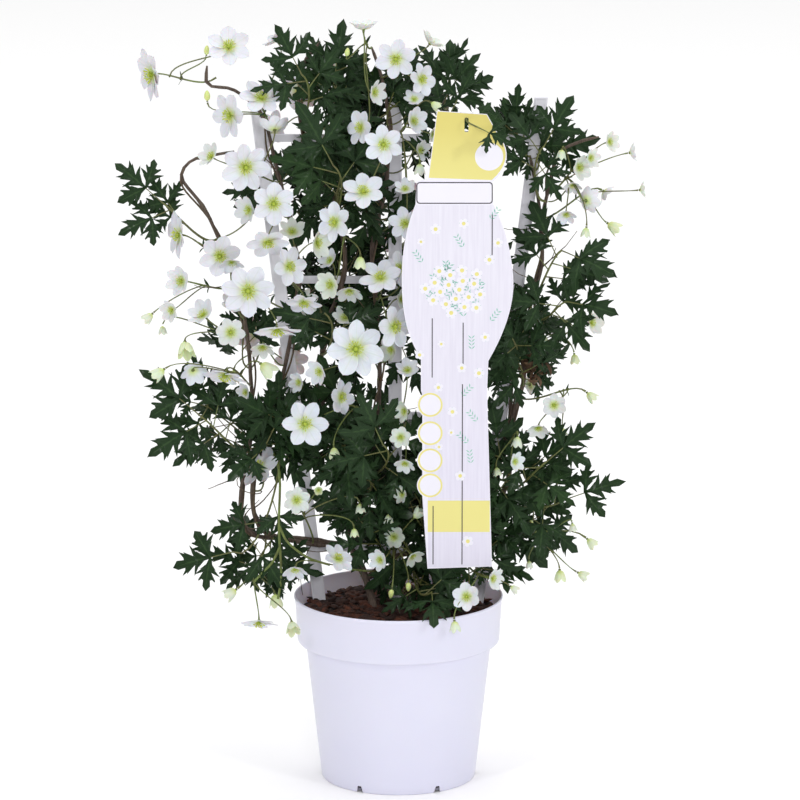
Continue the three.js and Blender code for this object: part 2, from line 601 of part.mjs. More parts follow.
// One try at a flower: how its head is turned and where it sits, and the stalk that carries it.
function tryFlower([x, y, z, span, stage, word], seed, attempt, carrier) {
  const draw = draws(seed);
  const shift = DEPTH_STEPS[attempt % DEPTH_STEPS.length];
  const bend = Math.floor(attempt / DEPTH_STEPS.length);
  const centre = at(x, y + shift, z - shift * DEPTH_RISE);
  const direction = facing(word);
  direction.x += WOBBLE * (draw() - 0.5);
  direction.z += WOBBLE * (draw() - 0.5);
  direction.normalize();
  const turn = turnTo(direction, draw() * Math.PI);
  const share = 0.35 + 0.4 * draw();
  const fork = carrier && onRod(carrier, FIRST_STALK_STEPS, share);
  const root = fork
    ? { base: fork.spot, out: fork.along.add(centre.clone().sub(fork.spot).setLength(1.2)).normalize() }
    : rootNear(at(FLOWER_ROOT.inward * x, y + shift + FLOWER_ROOT.back, z - FLOWER_ROOT.below), HOPS[bend]);
  const stalk = stalkTo(root, centre.clone().addScaledVector(direction, -CALYX_DEPTH), direction, SAGS[bend]);
  const rings = (grow) => carrier
    ? stalkRings(stalk, LATER_STALK_STEPS, LATER_STALK_R + grow, FORK_R, turn)
    : stalkRings(stalk, FIRST_STALK_STEPS, STALK_R + grow, STALK_R + grow, turn);
  const part = (kept, grow) => solidOfTriangles(flowerTriangles(span, stage, centre, turn, kept, grow));
  return {
    stalk,
    whole: (grow) => part(rings(grow), grow),
    head: (grow) => part(rings(grow).slice(-1), grow),
  };
}

function growSpray(name, flowers, number) {
  const heads = [];
  let carrier = null;
  let spray = null;
  flowers.forEach((flower, i) => {
    for (let attempt = 0; attempt < DEPTH_STEPS.length * SAGS.length; attempt++) {
      const { stalk, whole, head } = tryFlower(flower, 1000 * number + i, attempt, carrier);
      if (!isClear(whole(GUARD), [...placed, ...heads])) continue;
      if (spray && !head(GUARD).intersect(spray).isEmpty()) continue;
      const solid = head(0);
      heads.push({ solid, box: boxOf(solid) });
      carrier = carrier ?? stalk;
      spray = spray ? spray.add(whole(0)) : whole(0);
      return;
    }
    throw new Error(`${name} has no room for flower ${i}`);
  });
  add(name, spray, PETAL_WHITE);
}

// One leaf's blade: it grows along +X, its face looks along +Z, and its three leaflets are cut in
// lobes. A corner is its spot and half the blade's thickness there, which is nothing at the edge.
function leafTriangles(length, grow) {
  const triangles = [];
  const corner = (angle, along, across, rise, half) => {
    const x = PETIOLE_SHARE * length + along * Math.cos(angle) - across * Math.sin(angle);
    const y = along * Math.sin(angle) + across * Math.cos(angle);
    return { spot: at(x, y, rise - (DROOP * (x * x + y * y)) / length), half: half + grow };
  };
  const upper = ({ spot, half }) => at(spot.x, spot.y, spot.z + half);
  const lower = ({ spot, half }) => at(spot.x, spot.y, spot.z - half);
  const face = (a, b, c) => {
    triangles.push([upper(a), upper(b), upper(c)], [lower(a), lower(c), lower(b)]);
  };
  const wall = (a, b) => {
    triangles.push([lower(a), lower(b), upper(b)], [lower(a), upper(b), upper(a)]);
  };
  const hub = corner(0, 0, 0, 0, BLADE_HALF);
  const notches = NOTCH_ANGLES.map((angle) => corner(angle, NOTCH_SHARE * length + grow, 0, 0, 0));
  LEAFLETS.forEach(({ angle, reach, lobes }, i) => {
    const size = reach * length;
    const rib = corner(angle, RIB_SHARE * size, 0, RIB_RISE * size, BLADE_HALF);
    const side = (sign) =>
      lobes.map(([along, across]) => corner(angle, along * size, sign * (across * size + grow), 0, 0));
    const tip = corner(angle, size + grow, 0, 0, 0);
    const edge = [notches[i], ...side(-1), tip, ...side(1).reverse(), notches[i + 1]];
    for (let k = 0; k + 1 < edge.length; k++) {
      face(rib, edge[k], edge[k + 1]);
      wall(edge[k], edge[k + 1]);
    }
    face(rib, notches[i + 1], hub);
    face(rib, hub, notches[i]);
  });
  const foot = -PETIOLE_SHARE * length;
  const heel = [
    notches[3],
    corner(0, foot, PETIOLE_R + grow, 0, 0),
    corner(0, foot, 0, 0, PETIOLE_R),
    corner(0, foot, -PETIOLE_R - grow, 0, 0),
    notches[0],
  ];
  for (let k = 0; k + 1 < heel.length; k++) {
    face(hub, heel[k], heel[k + 1]);
    wall(heel[k], heel[k + 1]);
  }
  return triangles;
}

// One try at a leaf: where it leaves its stem, and how it is turned.
function tryLeaf({ spot: base, along }, side, length, attempt) {
  const outward = at(0, base.y > LEAF_BACK_Y ? 1 : -1, OUTWARD_RISE).normalize();
  const across = new THREE.Vector3().crossVectors(outward, along).normalize();
  const swing = SWINGS[attempt % SWINGS.length];
  const tilt = TILTS[Math.floor(attempt / SWINGS.length) % TILTS.length];
  const shrink = attempt < SWINGS.length * TILTS.length ? 1 : SHORTER;
  const direction = along.clone().multiplyScalar(side ? 0.5 : 1).addScaledVector(across, side);
  direction.normalize().applyAxisAngle(outward, swing);
  const normal = outward.addScaledVector(direction, -outward.dot(direction)).normalize();
  normal.applyAxisAngle(direction, tilt);
  const basis = new THREE.Matrix4().makeBasis(direction, at(0, 0, 0).crossVectors(normal, direction), normal);
  const turn = new THREE.Quaternion().setFromRotationMatrix(basis);
  return (grow) => solidOfTriangles(moved(leafTriangles(length * shrink, grow), turn, base));
}

function growLeaves(name, stem, radius, length, count) {
  const steps = stem.points ? CARRIER_STEPS : STEM_STEPS;
  let shoot = rod(stem, radius, 3, steps);
  const leaves = [];
  for (let i = 0; i < count; i++) {
    const share = 1 - (i * LEAF_SPREAD) / count;
    const side = i === 0 ? 0 : i % 2 ? 1 : -1;
    const size = length * (1 - LESS_PER_LEAF * i);
    for (let attempt = 0; attempt < 2 * SWINGS.length * TILTS.length; attempt++) {
      const leaf = tryLeaf(onRod(stem, steps, share), side, size, attempt);
      if (!isClear(leaf(GUARD), [...placed, ...leaves])) continue;
      const solid = leaf(0);
      leaves.push({ solid, box: boxOf(solid) });
      shoot = shoot.add(solid);
      break;
    }
  }
  add(name, shoot, LEAF_GREEN);
}

// One try at a shoot's stem, with its tip moved in depth and its root moved along the vine.
function tryShoot([x, y, z], attempt) {
  const shift = DEPTH_STEPS[attempt % DEPTH_STEPS.length];
  const bend = Math.floor(attempt / DEPTH_STEPS.length);
  const end = at(x, y + shift, z - shift * DEPTH_RISE);
  const root = rootNear(at(SHOOT_ROOT.inward * x, y, z - SHOOT_ROOT.below), HOPS[bend]);
  return stalkTo(root, end, at(Math.sign(x), 0, 0.7).normalize(), SAGS[bend]);
}

function growShoot(name, [tip, length, count]) {
  for (let attempt = 0; attempt < DEPTH_STEPS.length * SAGS.length; attempt++) {
    const stem = tryShoot(tip, attempt);
    if (!isClear(rod(stem, SHOOT_R + GUARD, 6, 8), placed)) continue;
    growLeaves(name, stem, SHOOT_R, length, count);
    return;
  }
  throw new Error(`${name} has no room for its stem`);
}

// The shoot that carries the card: it comes forward through the slot, under the slot's top edge.
function growCarrier() {
  const z = SLOT_TOP - GAP - CARRIER_R;
  const { base } = rootNear(at(SLOT_X, -10, 590), 0);
  const stem = route([
    base.toArray(), [SLOT_X, 0, z - 10], [SLOT_X, -30, z - 1], [SLOT_X, CARD_Y + 12, z],
    [SLOT_X, CARD_Y, z], [SLOT_X + 1, CARD_Y - 9, z - 1], [SLOT_X + 9, CARD_Y - 14, z - 4],
  ]);
  growLeaves("shoot_card_carrier", stem, CARRIER_R, CARRIER_LEAF, 2);
}

const trellis = makeTrellis();
const vines = makeVines();

add("pot", makePot(), WHITE_PLASTIC);
add("soil", makeSoil(), SOIL_BROWN);
add("trellis", trellis, WHITE_PLASTIC);
add("card_tag", plate(cardShape(), CARD_Y, CARD_THICKNESS), CARD_WHITE);
add("woody_stems", vines, BARK);
growCarrier();
Object.entries(SPRAYS).forEach(([name, flowers], number) => growSpray(name, flowers, number));
Object.entries(SHOOTS).forEach(([name, shoot]) => growShoot(name, shoot));

export default group;
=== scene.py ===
"""A potted clematis on a white fan trellis, with a card tag hung on one of its shoots.

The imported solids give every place. A sub-assembly is a class that holds its sizes in
millimetres, in the frame of the solids, and a finished mesh is scaled to metres.
"""
import sys

import logging
import math
from bisect import bisect_right
from collections.abc import Callable, Iterator
from dataclasses import dataclass, field
from enum import Enum
from functools import cache
from random import Random

import bmesh
import bpy
from mathutils import Matrix, Quaternion, Vector, noise
from mathutils.bvhtree import BVHTree
from mathutils.kdtree import KDTree


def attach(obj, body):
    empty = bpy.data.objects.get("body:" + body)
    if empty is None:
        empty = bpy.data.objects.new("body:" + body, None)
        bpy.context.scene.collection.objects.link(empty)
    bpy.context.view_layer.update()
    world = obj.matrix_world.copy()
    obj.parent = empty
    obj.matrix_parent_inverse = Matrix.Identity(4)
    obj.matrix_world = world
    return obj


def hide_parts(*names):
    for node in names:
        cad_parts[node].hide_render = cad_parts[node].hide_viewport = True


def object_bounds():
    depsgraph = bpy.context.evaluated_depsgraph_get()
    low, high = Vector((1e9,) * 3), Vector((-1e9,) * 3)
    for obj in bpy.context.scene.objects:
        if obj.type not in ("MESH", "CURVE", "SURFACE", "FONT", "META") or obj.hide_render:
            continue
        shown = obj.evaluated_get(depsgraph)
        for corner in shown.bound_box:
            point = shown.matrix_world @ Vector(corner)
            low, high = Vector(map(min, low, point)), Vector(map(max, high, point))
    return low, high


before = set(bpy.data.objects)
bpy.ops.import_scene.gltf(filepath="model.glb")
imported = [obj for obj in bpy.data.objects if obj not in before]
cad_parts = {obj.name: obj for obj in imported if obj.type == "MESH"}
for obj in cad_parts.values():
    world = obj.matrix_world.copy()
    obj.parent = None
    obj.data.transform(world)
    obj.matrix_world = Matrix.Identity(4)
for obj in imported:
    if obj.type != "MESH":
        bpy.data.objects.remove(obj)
CAD_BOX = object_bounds()

LOG = logging.getLogger("clematis")
MM = 0.001
UP = Vector((0, 0, 1))
BODY = "root"
UV_LAYER = "blade"
TONE = "tone"
UNDER = "under"
SAME_CORNER = 0.06
MEAN = 0.5
SIDE_VEIN = 0.12
SIDE_SHARE = 0.6
MIDRIB = 0.16
FRONT = Vector((0, -1, 0))
AS_DRAWN = Matrix.Identity(4)

Colour = tuple[float, float, float, float]
Spot = tuple[float, float]
Place = Callable[[float, float], Vector]
Shape = bmesh.types.BMesh
Socket = bpy.types.NodeSocket


def paint(code: int) -> Colour:
    """The linear colour of a screen colour, which is given as 0xRRGGBB."""
    shares = [((code >> shift) & 255) / 255 for shift in (16, 8, 0)]
    linear = [s / 12.92 if s <= 0.04045 else ((s + 0.055) / 1.055) ** 2.4 for s in shares]
    return (*linear, 1.0)


# Node trees


class Nodes:
    """A node tree that is filled in a node at a time."""

    def __init__(self, tree: bpy.types.NodeTree) -> None:
        """Starts on the tree of a material or of a node group."""
        self.tree = tree

    def feed(self, socket: Socket, value: object) -> None:
        """Links an output to a socket, or sets the socket to a number, vector or colour."""
        if isinstance(value, Socket):
            self.tree.links.new(value, socket)
        else:
            socket.default_value = value

    def add(self, kind: str, inputs: dict | None = None, **settings: object) -> bpy.types.Node:
        """Adds one node.

        Args:
            kind: The node's type name.
            inputs: What feeds its sockets, by name or number.
            **settings: The node's own options.

        Returns:
            The new node.
        """
        node = self.tree.nodes.new(kind)
        for key, value in settings.items():
            setattr(node, key, value)
        for key, value in (inputs or {}).items():
            self.feed(node.inputs[key], value)
        return node

    def sums(self, operation: str, *values: object) -> Socket:
        """The result of one step of arithmetic, a Math node's operation on its inputs."""
        return self.add("ShaderNodeMath", dict(enumerate(values)), operation=operation).outputs[0]

    def blend(self, factor: object, low: object, high: object) -> Socket:
        """The mix of two colours, by the share of the second."""
        return self.add("ShaderNodeMix", {0: factor, 6: low, 7: high}, data_type="RGBA").outputs[2]

    def between(self, value: object, low: float, high: float) -> Socket:
        """The smooth rise from 0 to 1 of a value, between a low and a high."""
        inputs = {"Value": value, "From Min": low, "From Max": high}
        return self.add("ShaderNodeMapRange", inputs, interpolation_type="SMOOTHSTEP").outputs[0]


class Recipe(Nodes):
    """A material around its Principled shader."""

    def __init__(self, name: str, roughness: float, **constants: object) -> None:
        """Makes the material.

        Args:
            name: The finish in plain words.
            roughness: The shader's roughness.
            **constants: Other shader sockets, with underscores for spaces.
        """
        self.material = bpy.data.materials.new(name)
        self.material.use_nodes = True
        super().__init__(self.material.node_tree)
        self.shader = self.tree.nodes["Principled BSDF"]
        self.set(Roughness=roughness, **constants)

    def set(self, **values: object) -> None:
        """Feeds sockets of the shader, named with underscores for spaces."""
        for key, value in values.items():
            self.feed(self.shader.inputs[key.replace("_", " ")], value)

    def attribute(self, name: str) -> Socket:
        """The value that the mesh carries under a name."""
        return self.add("ShaderNodeAttribute", attribute_name=name).outputs["Fac"]

    def place(self) -> Socket:
        """The spot on the object, in metres."""
        return self.add("ShaderNodeTexCoord").outputs["Object"]

    def group(self, tree: bpy.types.NodeTree, **inputs: object) -> bpy.types.Node:
        """Places a shared effect.

        Args:
            tree: The effect's node group.
            **inputs: What feeds its sockets, with underscores for spaces.

        Returns:
            The group's node.
        """
        node = self.add("ShaderNodeGroup", node_tree=tree)
        for key, value in inputs.items():
            self.feed(node.inputs[key.replace("_", " ")], value)
        return node

    def mottle(self, scale: float, contrast: float, spot: Socket | None = None,
               **colours: object) -> bpy.types.Node:
        """Places cloudy patches of a Light and a Dark colour, at the object's own spots or at others."""
        place = spot or self.place()
        return self.group(mottle_group(), Vector=place, Scale=scale, Contrast=contrast, **colours)

    def bump(self, height: Socket, strength: float, depth: float) -> None:
        """Raises the surface by a height from 0 to 1, which is so many metres deep."""
        inputs = {"Strength": strength, "Distance": depth, "Height": height}
        self.set(Normal=self.add("ShaderNodeBump", inputs).outputs["Normal"])


def new_group(name: str, inputs: dict[str, str], outputs: dict[str, str]) -> tuple:
    """An empty node group with its sockets.

    Args:
        name: The effect in plain words.
        inputs: The kind of each input socket, by name.
        outputs: The kind of each output socket, by name.

    Returns:
        The group as a Nodes, its input node and its output node.
    """
    tree = bpy.data.node_groups.new(name, "ShaderNodeTree")
    for in_out, sockets in (("INPUT", inputs), ("OUTPUT", outputs)):
        for socket, kind in sockets.items():
            tree.interface.new_socket(name=socket, in_out=in_out, socket_type=f"NodeSocket{kind}")
    nodes = Nodes(tree)
    return nodes, nodes.add("NodeGroupInput"), nodes.add("NodeGroupOutput")


@cache
def mottle_group() -> bpy.types.NodeTree:
    """Cloudy patches of two colours, which give the colour and the patches' own value."""
    inputs = {"Vector": "Vector", "Scale": "Float", "Contrast": "Float", "Light": "Color", "Dark": "Color"}
    nodes, given, out = new_group("Mottle", inputs, {"Colour": "Color", "Value": "Float"})
    vector, scale, contrast, light, dark = given.outputs[:5]
    cloud = nodes.add("ShaderNodeTexNoise", {"Vector": vector, "Scale": scale, "Detail": 3.0}).outputs[0]
    centred = nodes.sums("SUBTRACT", cloud, MEAN)
    spread = nodes.add("ShaderNodeMath", {0: centred, 1: contrast, 2: MEAN}, operation="MULTIPLY_ADD")
    spread.use_clamp = True
    nodes.feed(out.inputs[0], nodes.blend(spread.outputs[0], light, dark))
    nodes.feed(out.inputs[1], spread.outputs[0])
    return nodes.tree


@cache
def vein_group() -> bpy.types.NodeTree:
    """Veins on a blade whose UV runs across it and along it: a mask that is 1 on a vein."""
    inputs = {"UV": "Vector", "Across": "Float", "Along": "Float", "Midrib": "Float"}
    nodes, given, out = new_group("Veins", inputs, {"Mask": "Float"})
    uv, per_width, per_length, midrib = given.outputs[:4]
    u, v, _ = nodes.add("ShaderNodeSeparateXYZ", {0: uv}).outputs
    aside = nodes.sums("ABSOLUTE", nodes.sums("MULTIPLY_ADD", u, 2.0, -1.0))
    lanes = nodes.sums("MULTIPLY_ADD", v, per_length, nodes.sums("MULTIPLY", aside, per_width))
    side = nodes.between(nodes.sums("PINGPONG", lanes, 0.5), SIDE_VEIN, 0.0)
    middle = nodes.sums("MULTIPLY", nodes.between(aside, MIDRIB, 0.0), midrib)
    faint = nodes.sums("MULTIPLY", side, SIDE_SHARE)
    nodes.feed(out.inputs[0], nodes.sums("MAXIMUM", middle, faint))
    return nodes.tree


# Finishes


@dataclass(frozen=True)
class Plastic:
    """Moulded white plastic with a faint grain."""

    name: str
    light: int
    dark: int
    roughness: float = 0.36

    def make(self) -> bpy.types.Material:
        """A soft white with cloudy depth and a fine bump."""
        recipe = Recipe(self.name, self.roughness, Coat_Weight=0.12, Subsurface_Weight=0.06)
        patches = recipe.mottle(9.0, 1.2, Light=paint(self.light), Dark=paint(self.dark))
        grain = recipe.mottle(900.0, 1.5)
        recipe.set(Base_Color=patches.outputs[0])
        recipe.bump(grain.outputs[1], 0.25, 0.00006)
        return recipe.material


@dataclass(frozen=True)
class Tepal:
    """A petal's skin: white, greener in young flowers and at the throat, with fine long veins."""

    name: str = "petal_skin"
    open_white: int = 0xE6E6EE
    young_green: int = 0xDFE8BE
    throat: int = 0xD3E07C
    vein: int = 0xCBD3C4
    cloud: int = 0xDAD9E4

    def make(self) -> bpy.types.Material:
        """A matt, slightly waxy skin."""
        recipe = Recipe(self.name, 0.5, Subsurface_Weight=0.18, Subsurface_Scale=0.004,
                        Sheen_Weight=0.08)
        uv = recipe.add("ShaderNodeUVMap", uv_map=UV_LAYER).outputs[0]
        along = recipe.add("ShaderNodeSeparateXYZ", {0: uv}).outputs[1]
        age = recipe.attribute(TONE)
        clouds = recipe.mottle(160.0, 1.6, Light=paint(self.open_white), Dark=paint(self.cloud))
        veins = recipe.group(vein_group(), UV=uv, Across=4.0, Along=0.0, Midrib=1.0)
        young = recipe.blend(recipe.between(age, 0.1, 1.0), clouds.outputs[0], paint(self.young_green))
        fading = recipe.between(along, 0.55, 0.0)
        throat = recipe.sums("POWER", fading, recipe.sums("MULTIPLY_ADD", age, -2.6, 4.0))
        base = recipe.blend(throat, young, paint(self.throat))
        faint = recipe.sums("MULTIPLY", veins.outputs[0], 0.3)
        recipe.set(Base_Color=recipe.blend(faint, base, paint(self.vein)))
        recipe.bump(veins.outputs[0], 0.5, 0.00025)
        return recipe.material


@dataclass(frozen=True)
class LeafSkin:
    """Glossy dark leaf, paler beneath, with a lighter rib and side veins."""

    name: str
    deep: int
    fresh: int
    rib: int
    beneath: int

    def make(self) -> bpy.types.Material:
        """A leathery skin with a coat."""
        recipe = Recipe(self.name, 0.36, Coat_Weight=0.08, Coat_Roughness=0.14,
                        Specular_IOR_Level=0.14)
        uv = recipe.add("ShaderNodeUVMap", uv_map=UV_LAYER).outputs[0]
        tone = recipe.attribute(TONE)
        light = recipe.blend(tone, paint(self.deep), paint(self.fresh))
        clouds = recipe.mottle(70.0, 2.2, Light=light, Dark=paint(self.deep))
        veins = recipe.group(vein_group(), UV=uv, Across=-3.2, Along=6.0, Midrib=1.0)
        faint = recipe.sums("MULTIPLY", veins.outputs[0], 0.62)
        ribbed = recipe.blend(faint, clouds.outputs[0], paint(self.rib))
        under = recipe.sums("MULTIPLY", recipe.attribute(UNDER), 0.7)
        recipe.set(Base_Color=recipe.blend(under, ribbed, paint(self.beneath)))
        recipe.set(Roughness=recipe.sums("MULTIPLY_ADD", recipe.attribute(UNDER), 0.3, 0.24))
        recipe.bump(veins.outputs[0], 0.6, 0.0004)
        return recipe.material


@dataclass(frozen=True)
class Stem:
    """Green or brown rind, by the tone of each stem."""

    name: str
    green: int
    brown: int
    roughness: float = 0.55
    grain: float = 0.00015
    streak_light: int = 0xFFFFFF
    streak_dark: int = 0x8A8784

    def make(self) -> bpy.types.Material:
        """A rind that is streaked along the stem."""
        recipe = Recipe(self.name, self.roughness)
        stretch = recipe.add("ShaderNodeMapping", {0: recipe.place(), 3: (1.0, 1.0, 0.16)}).outputs[0]
        streaks = recipe.mottle(900.0, 2.4, stretch, Light=paint(self.streak_light),
                                Dark=paint(self.streak_dark))
        patches = recipe.mottle(60.0, 2.0, Light=paint(self.green), Dark=paint(self.brown))
        rind = recipe.blend(recipe.attribute(TONE), patches.outputs[0], paint(self.brown))
        shade = recipe.add("ShaderNodeMix", {0: 0.75, 6: rind, 7: streaks.outputs[0]},
                           data_type="RGBA", blend_type="MULTIPLY").outputs[2]
        recipe.set(Base_Color=shade)
        recipe.bump(streaks.outputs[1], 0.8, self.grain)
        return recipe.material


@dataclass(frozen=True)
class Speckle:
    """A matt finish that runs between two colours by the tone of each bit."""

    name: str
    low: int
    high: int
    roughness: float = 0.9
    scale: float = 300.0
    depth: float = 0.0004

    def make(self) -> bpy.types.Material:
        """A rough finish with cloudy shade."""
        recipe = Recipe(self.name, self.roughness)
        body = recipe.blend(recipe.attribute(TONE), paint(self.low), paint(self.high))
        clouds = recipe.mottle(self.scale, 2.0, Light=body, Dark=paint(self.low))
        recipe.set(Base_Color=clouds.outputs[0])
        recipe.bump(clouds.outputs[1], 0.7, self.depth)
        return recipe.material


@dataclass(frozen=True)
class Print:
    """Ink on the card: a flat colour with a faint wash down its height."""

    name: str
    top: int
    bottom: int
    from_z: float
    to_z: float
    grain: float = 0.0
    grain_tone: int = 0xBDB6CC

    def make(self) -> bpy.types.Material:
        """A satin print, with long wood streaks where it has grain."""
        recipe = Recipe(self.name, 0.42, Coat_Weight=0.15)
        height = recipe.add("ShaderNodeSeparateXYZ", {0: recipe.place()}).outputs[2]
        share = recipe.between(height, self.from_z * MM, self.to_z * MM)
        wash = recipe.blend(share, paint(self.bottom), paint(self.top))
        stretch = recipe.add("ShaderNodeMapping", {0: recipe.place(), 3: (1.0, 1.0, 0.05)}).outputs[0]
        streaks = recipe.mottle(420.0, 2.0, stretch)
        shade = recipe.sums("MULTIPLY", streaks.outputs[1], self.grain)
        recipe.set(Base_Color=recipe.blend(shade, wash, paint(self.grain_tone)))
        return recipe.material


class Finish(Enum):
    """The finishes by what they cover."""

    POT = Plastic("pot_plastic", 0xE6E3F3, 0xDEDBEE)
    TRELLIS = Plastic("trellis_plastic", 0xF7F6FC, 0xEDECF6, 0.4)
    PETAL = Tepal()
    LEAF = LeafSkin("leaf_skin", 0x091409, 0x35541F, 0x587545, 0x243C20)
    STALK = Stem("stalk_rind", 0x7F9A48, 0x6E6A3E)
    TWIG = Stem("twig_rind", 0x6C7442, 0x6A5444, 0.7)
    WOOD = Stem("woody_bark", 0x8A7B6C, 0x5C4C44, 0.85, 0.0006)
    STAMEN = Speckle("stamen", 0xA3B83A, 0xE3E56E, 0.6, 900.0, 0.0001)
    BARK = Speckle("bark_chip", 0x24130E, 0x6A3A26)
    SOIL = Speckle("potting_soil", 0x1D110D, 0x3B2219, 0.95, 240.0, 0.0015)
    DRY = Speckle("dry_leaf", 0x4A3423, 0x7C6244, 0.8, 200.0)
    CARD = Print("card_stock", 0xEAE8F2, 0xE6E4EF, 210, 627)
    YELLOW = Print("card_yellow", 0xD8CB70, 0xE3DA86, 560, 627)
    BOARD = Print("card_boards", 0xE6E4EF, 0xDFDCEB, 210, 543, 0.3)
    INK = Print("card_ink", 0x35303A, 0x2C2832, 210, 627)
    SPRIG = Print("card_sprig", 0x6FB8A2, 0x86C4AE, 210, 543)

    def material(self) -> bpy.types.Material:
        """The finish's material, made the first time that it is asked for."""
        return bpy.data.materials.get(self.value.name) or self.value.make()


# Shapes


def new_shape() -> Shape:
    """An empty shape, with the layers that the finishes read."""
    bm = bmesh.new()
    bm.loops.layers.uv.new(UV_LAYER)
    for layer in (TONE, UNDER):
        bm.verts.layers.float.new(layer)
    return bm


def welded(bm: Shape, reach: float) -> Shape:
    """The shape, once corners within a reach are joined."""
    bmesh.ops.remove_doubles(bm, verts=bm.verts[:], dist=reach)
    return bm


def closed(bm: Shape, reach: float) -> Shape:
    """The shape, once corners within a reach are joined and its faces point out."""
    bmesh.ops.recalc_face_normals(bm, faces=welded(bm, reach).faces[:])
    return bm


def grid(columns: int, rows: int, place: Place) -> Shape:
    """A grid bent into shape.

    Args:
        columns: Faces across.
        rows: Faces along.
        place: Where a corner goes, from its share across (-1 to 1) and along (0 to 1).

    Returns:
        The open sheet, with its shares as UV.
    """
    bm = new_shape()
    uv = bm.loops.layers.uv[UV_LAYER]
    bmesh.ops.create_grid(bm, x_segments=columns, y_segments=rows, size=0.5)
    for face in bm.faces:
        for loop in face.loops:
            loop[uv].uv = (loop.vert.co.x + 0.5, loop.vert.co.y + 0.5)
    for vert in bm.verts:
        vert.co = place(2 * vert.co.x, vert.co.y + 0.5)
    return bm


def blade(columns: int, rows: int, thickness: float, place: Place) -> Shape:
    """A thin closed blade.

    Args:
        columns: Faces across.
        rows: Faces along.
        thickness: How thick it is, in millimetres.
        place: Where a corner goes, as for a grid.

    Returns:
        The blade, whose lower corners carry the mark for its underside.
    """
    bm = grid(columns, rows, place)
    upper = set(bm.verts)
    bm.normal_update()
    bmesh.ops.solidify(bm, geom=bm.faces[:], thickness=thickness)
    under = bm.verts.layers.float[UNDER]
    for vert in bm.verts:
        vert[under] = 0.0 if vert in upper else 1.0
    return welded(bm, 0.002)


def tube(points: list[Vector], radii: list[float], sides: int) -> Shape:
    """A round stem through points, closed at both ends.

    Args:
        points: The middle of each ring.
        radii: The radius of each ring.
        sides: Corners in a ring.

    Returns:
        The stem.
    """
    points = [points[0], *points, points[-1]]
    radii = [0.0, *radii, 0.0]
    last = len(points) - 1
    heading = (points[2] - points[1]).normalized()
    side = heading.orthogonal().normalized()
    rings = []
    for i, point in enumerate(points):
        tangent = points[min(i + 1, last)] - points[max(i - 1, 0)]
        if tangent.length > 1e-6:
            tangent.normalize()
            side = heading.rotation_difference(tangent) @ side
            heading = tangent
        rings.append((point, side.copy(), heading.cross(side)))

    def place(across: float, along: float) -> Vector:
        ring = round(along * last)
        centre, first, second = rings[ring]
        angle = math.pi * across
        return centre + (first * math.cos(angle) + second * math.sin(angle)) * radii[ring]

    return closed(grid(sides, last, place), 0.0005)


def solid_of(operator: Callable[..., dict], **sizes: object) -> Shape:
    """A closed solid from one of the create operators.

    Args:
        operator: The operator, such as create_cube.
        **sizes: Its sizes.

    Returns:
        The solid, with the layers that every shape has.
    """
    bm = new_shape()
    operator(bm, **sizes)
    return bm


def to_mesh(name: str, bm: Shape) -> bpy.types.Mesh:
    """A mesh from a shape, which is freed."""
    mesh = bpy.data.meshes.new(name)
    bm.to_mesh(mesh)
    bm.free()
    return mesh


def to_object(name: str, data: bpy.types.ID) -> bpy.types.Object:
    """An object in the scene, from its data."""
    made = bpy.data.objects.new(name, data)
    bpy.context.scene.collection.objects.link(made)
    return made


class Piece:
    """One object in the making: shapes are stamped into it, and it is finished once."""

    SHARP = 0.9

    def __init__(self, name: str, slot: str, *finishes: Finish) -> None:
        """Starts an empty piece.

        Args:
            name: The piece's name.
            slot: The record's material slot; it is not used.
            *finishes: Its finishes, in the order that shapes name them.
        """
        self.name = name
        self.slot = slot
        self.finishes = finishes
        self.bm = bmesh.new()

    def stamp(self, shape: Shape, matrix: Matrix = AS_DRAWN, tone: float = 0.5, finish: int = 0) -> None:
        """Puts a shape in and frees it.

        Args:
            shape: The small closed shape.
            matrix: Where it goes, in millimetres.
            tone: What its finish varies by, from 0 to 1.
            finish: Which of the piece's finishes it wears.
        """
        layer = shape.verts.layers.float[TONE]
        for vert in shape.verts:
            vert[layer] = tone
        for face in shape.faces:
            face.material_index = finish
        mesh = to_mesh("stamp", shape)
        mesh.transform(matrix)
        self.take(mesh)

    def take(self, mesh: bpy.types.Mesh) -> None:
        """Puts a mesh in as it is, and removes it."""
        self.bm.from_mesh(mesh)
        bpy.data.meshes.remove(mesh)

    def tuck(self, margin: float = 2.0) -> None:
        """Eases corners that stand a hair outside the solids' box back inside it.

        Args:
            margin: How near a side the easing starts, in millimetres.
        """
        for corner, inward in zip(CAD_BOX, (1, -1)):
            for axis, side in enumerate(corner / MM):
                for vert in self.bm.verts:
                    room = (vert.co[axis] - side) * inward
                    if room < margin:
                        vert.co[axis] = side + inward * margin * math.exp(room / margin - 1)

    def finish(self, *nodes: str, smooth: bool = True) -> None:
        """Makes the object, in metres, riding on the body.

        Args:
            *nodes: The solids that it stands for.
            smooth: Whether its shading is smooth.
        """
        bmesh.ops.scale(self.bm, vec=(MM, MM, MM), verts=self.bm.verts[:])
        mesh = to_mesh(self.name, self.bm)
        mesh.polygons.foreach_set("use_smooth", [smooth] * len(mesh.polygons))
        if smooth:
            mesh.set_sharp_from_angle(angle=self.SHARP)
        for finish in self.finishes:
            mesh.materials.append(finish.material())
        piece = to_object(self.name, mesh)
        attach(piece, BODY)
        if nodes:
            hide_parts(*nodes)
        LOG.info("%s: %d faces", self.name, len(mesh.polygons))


# Curves and the seeded rule that the plant grows by


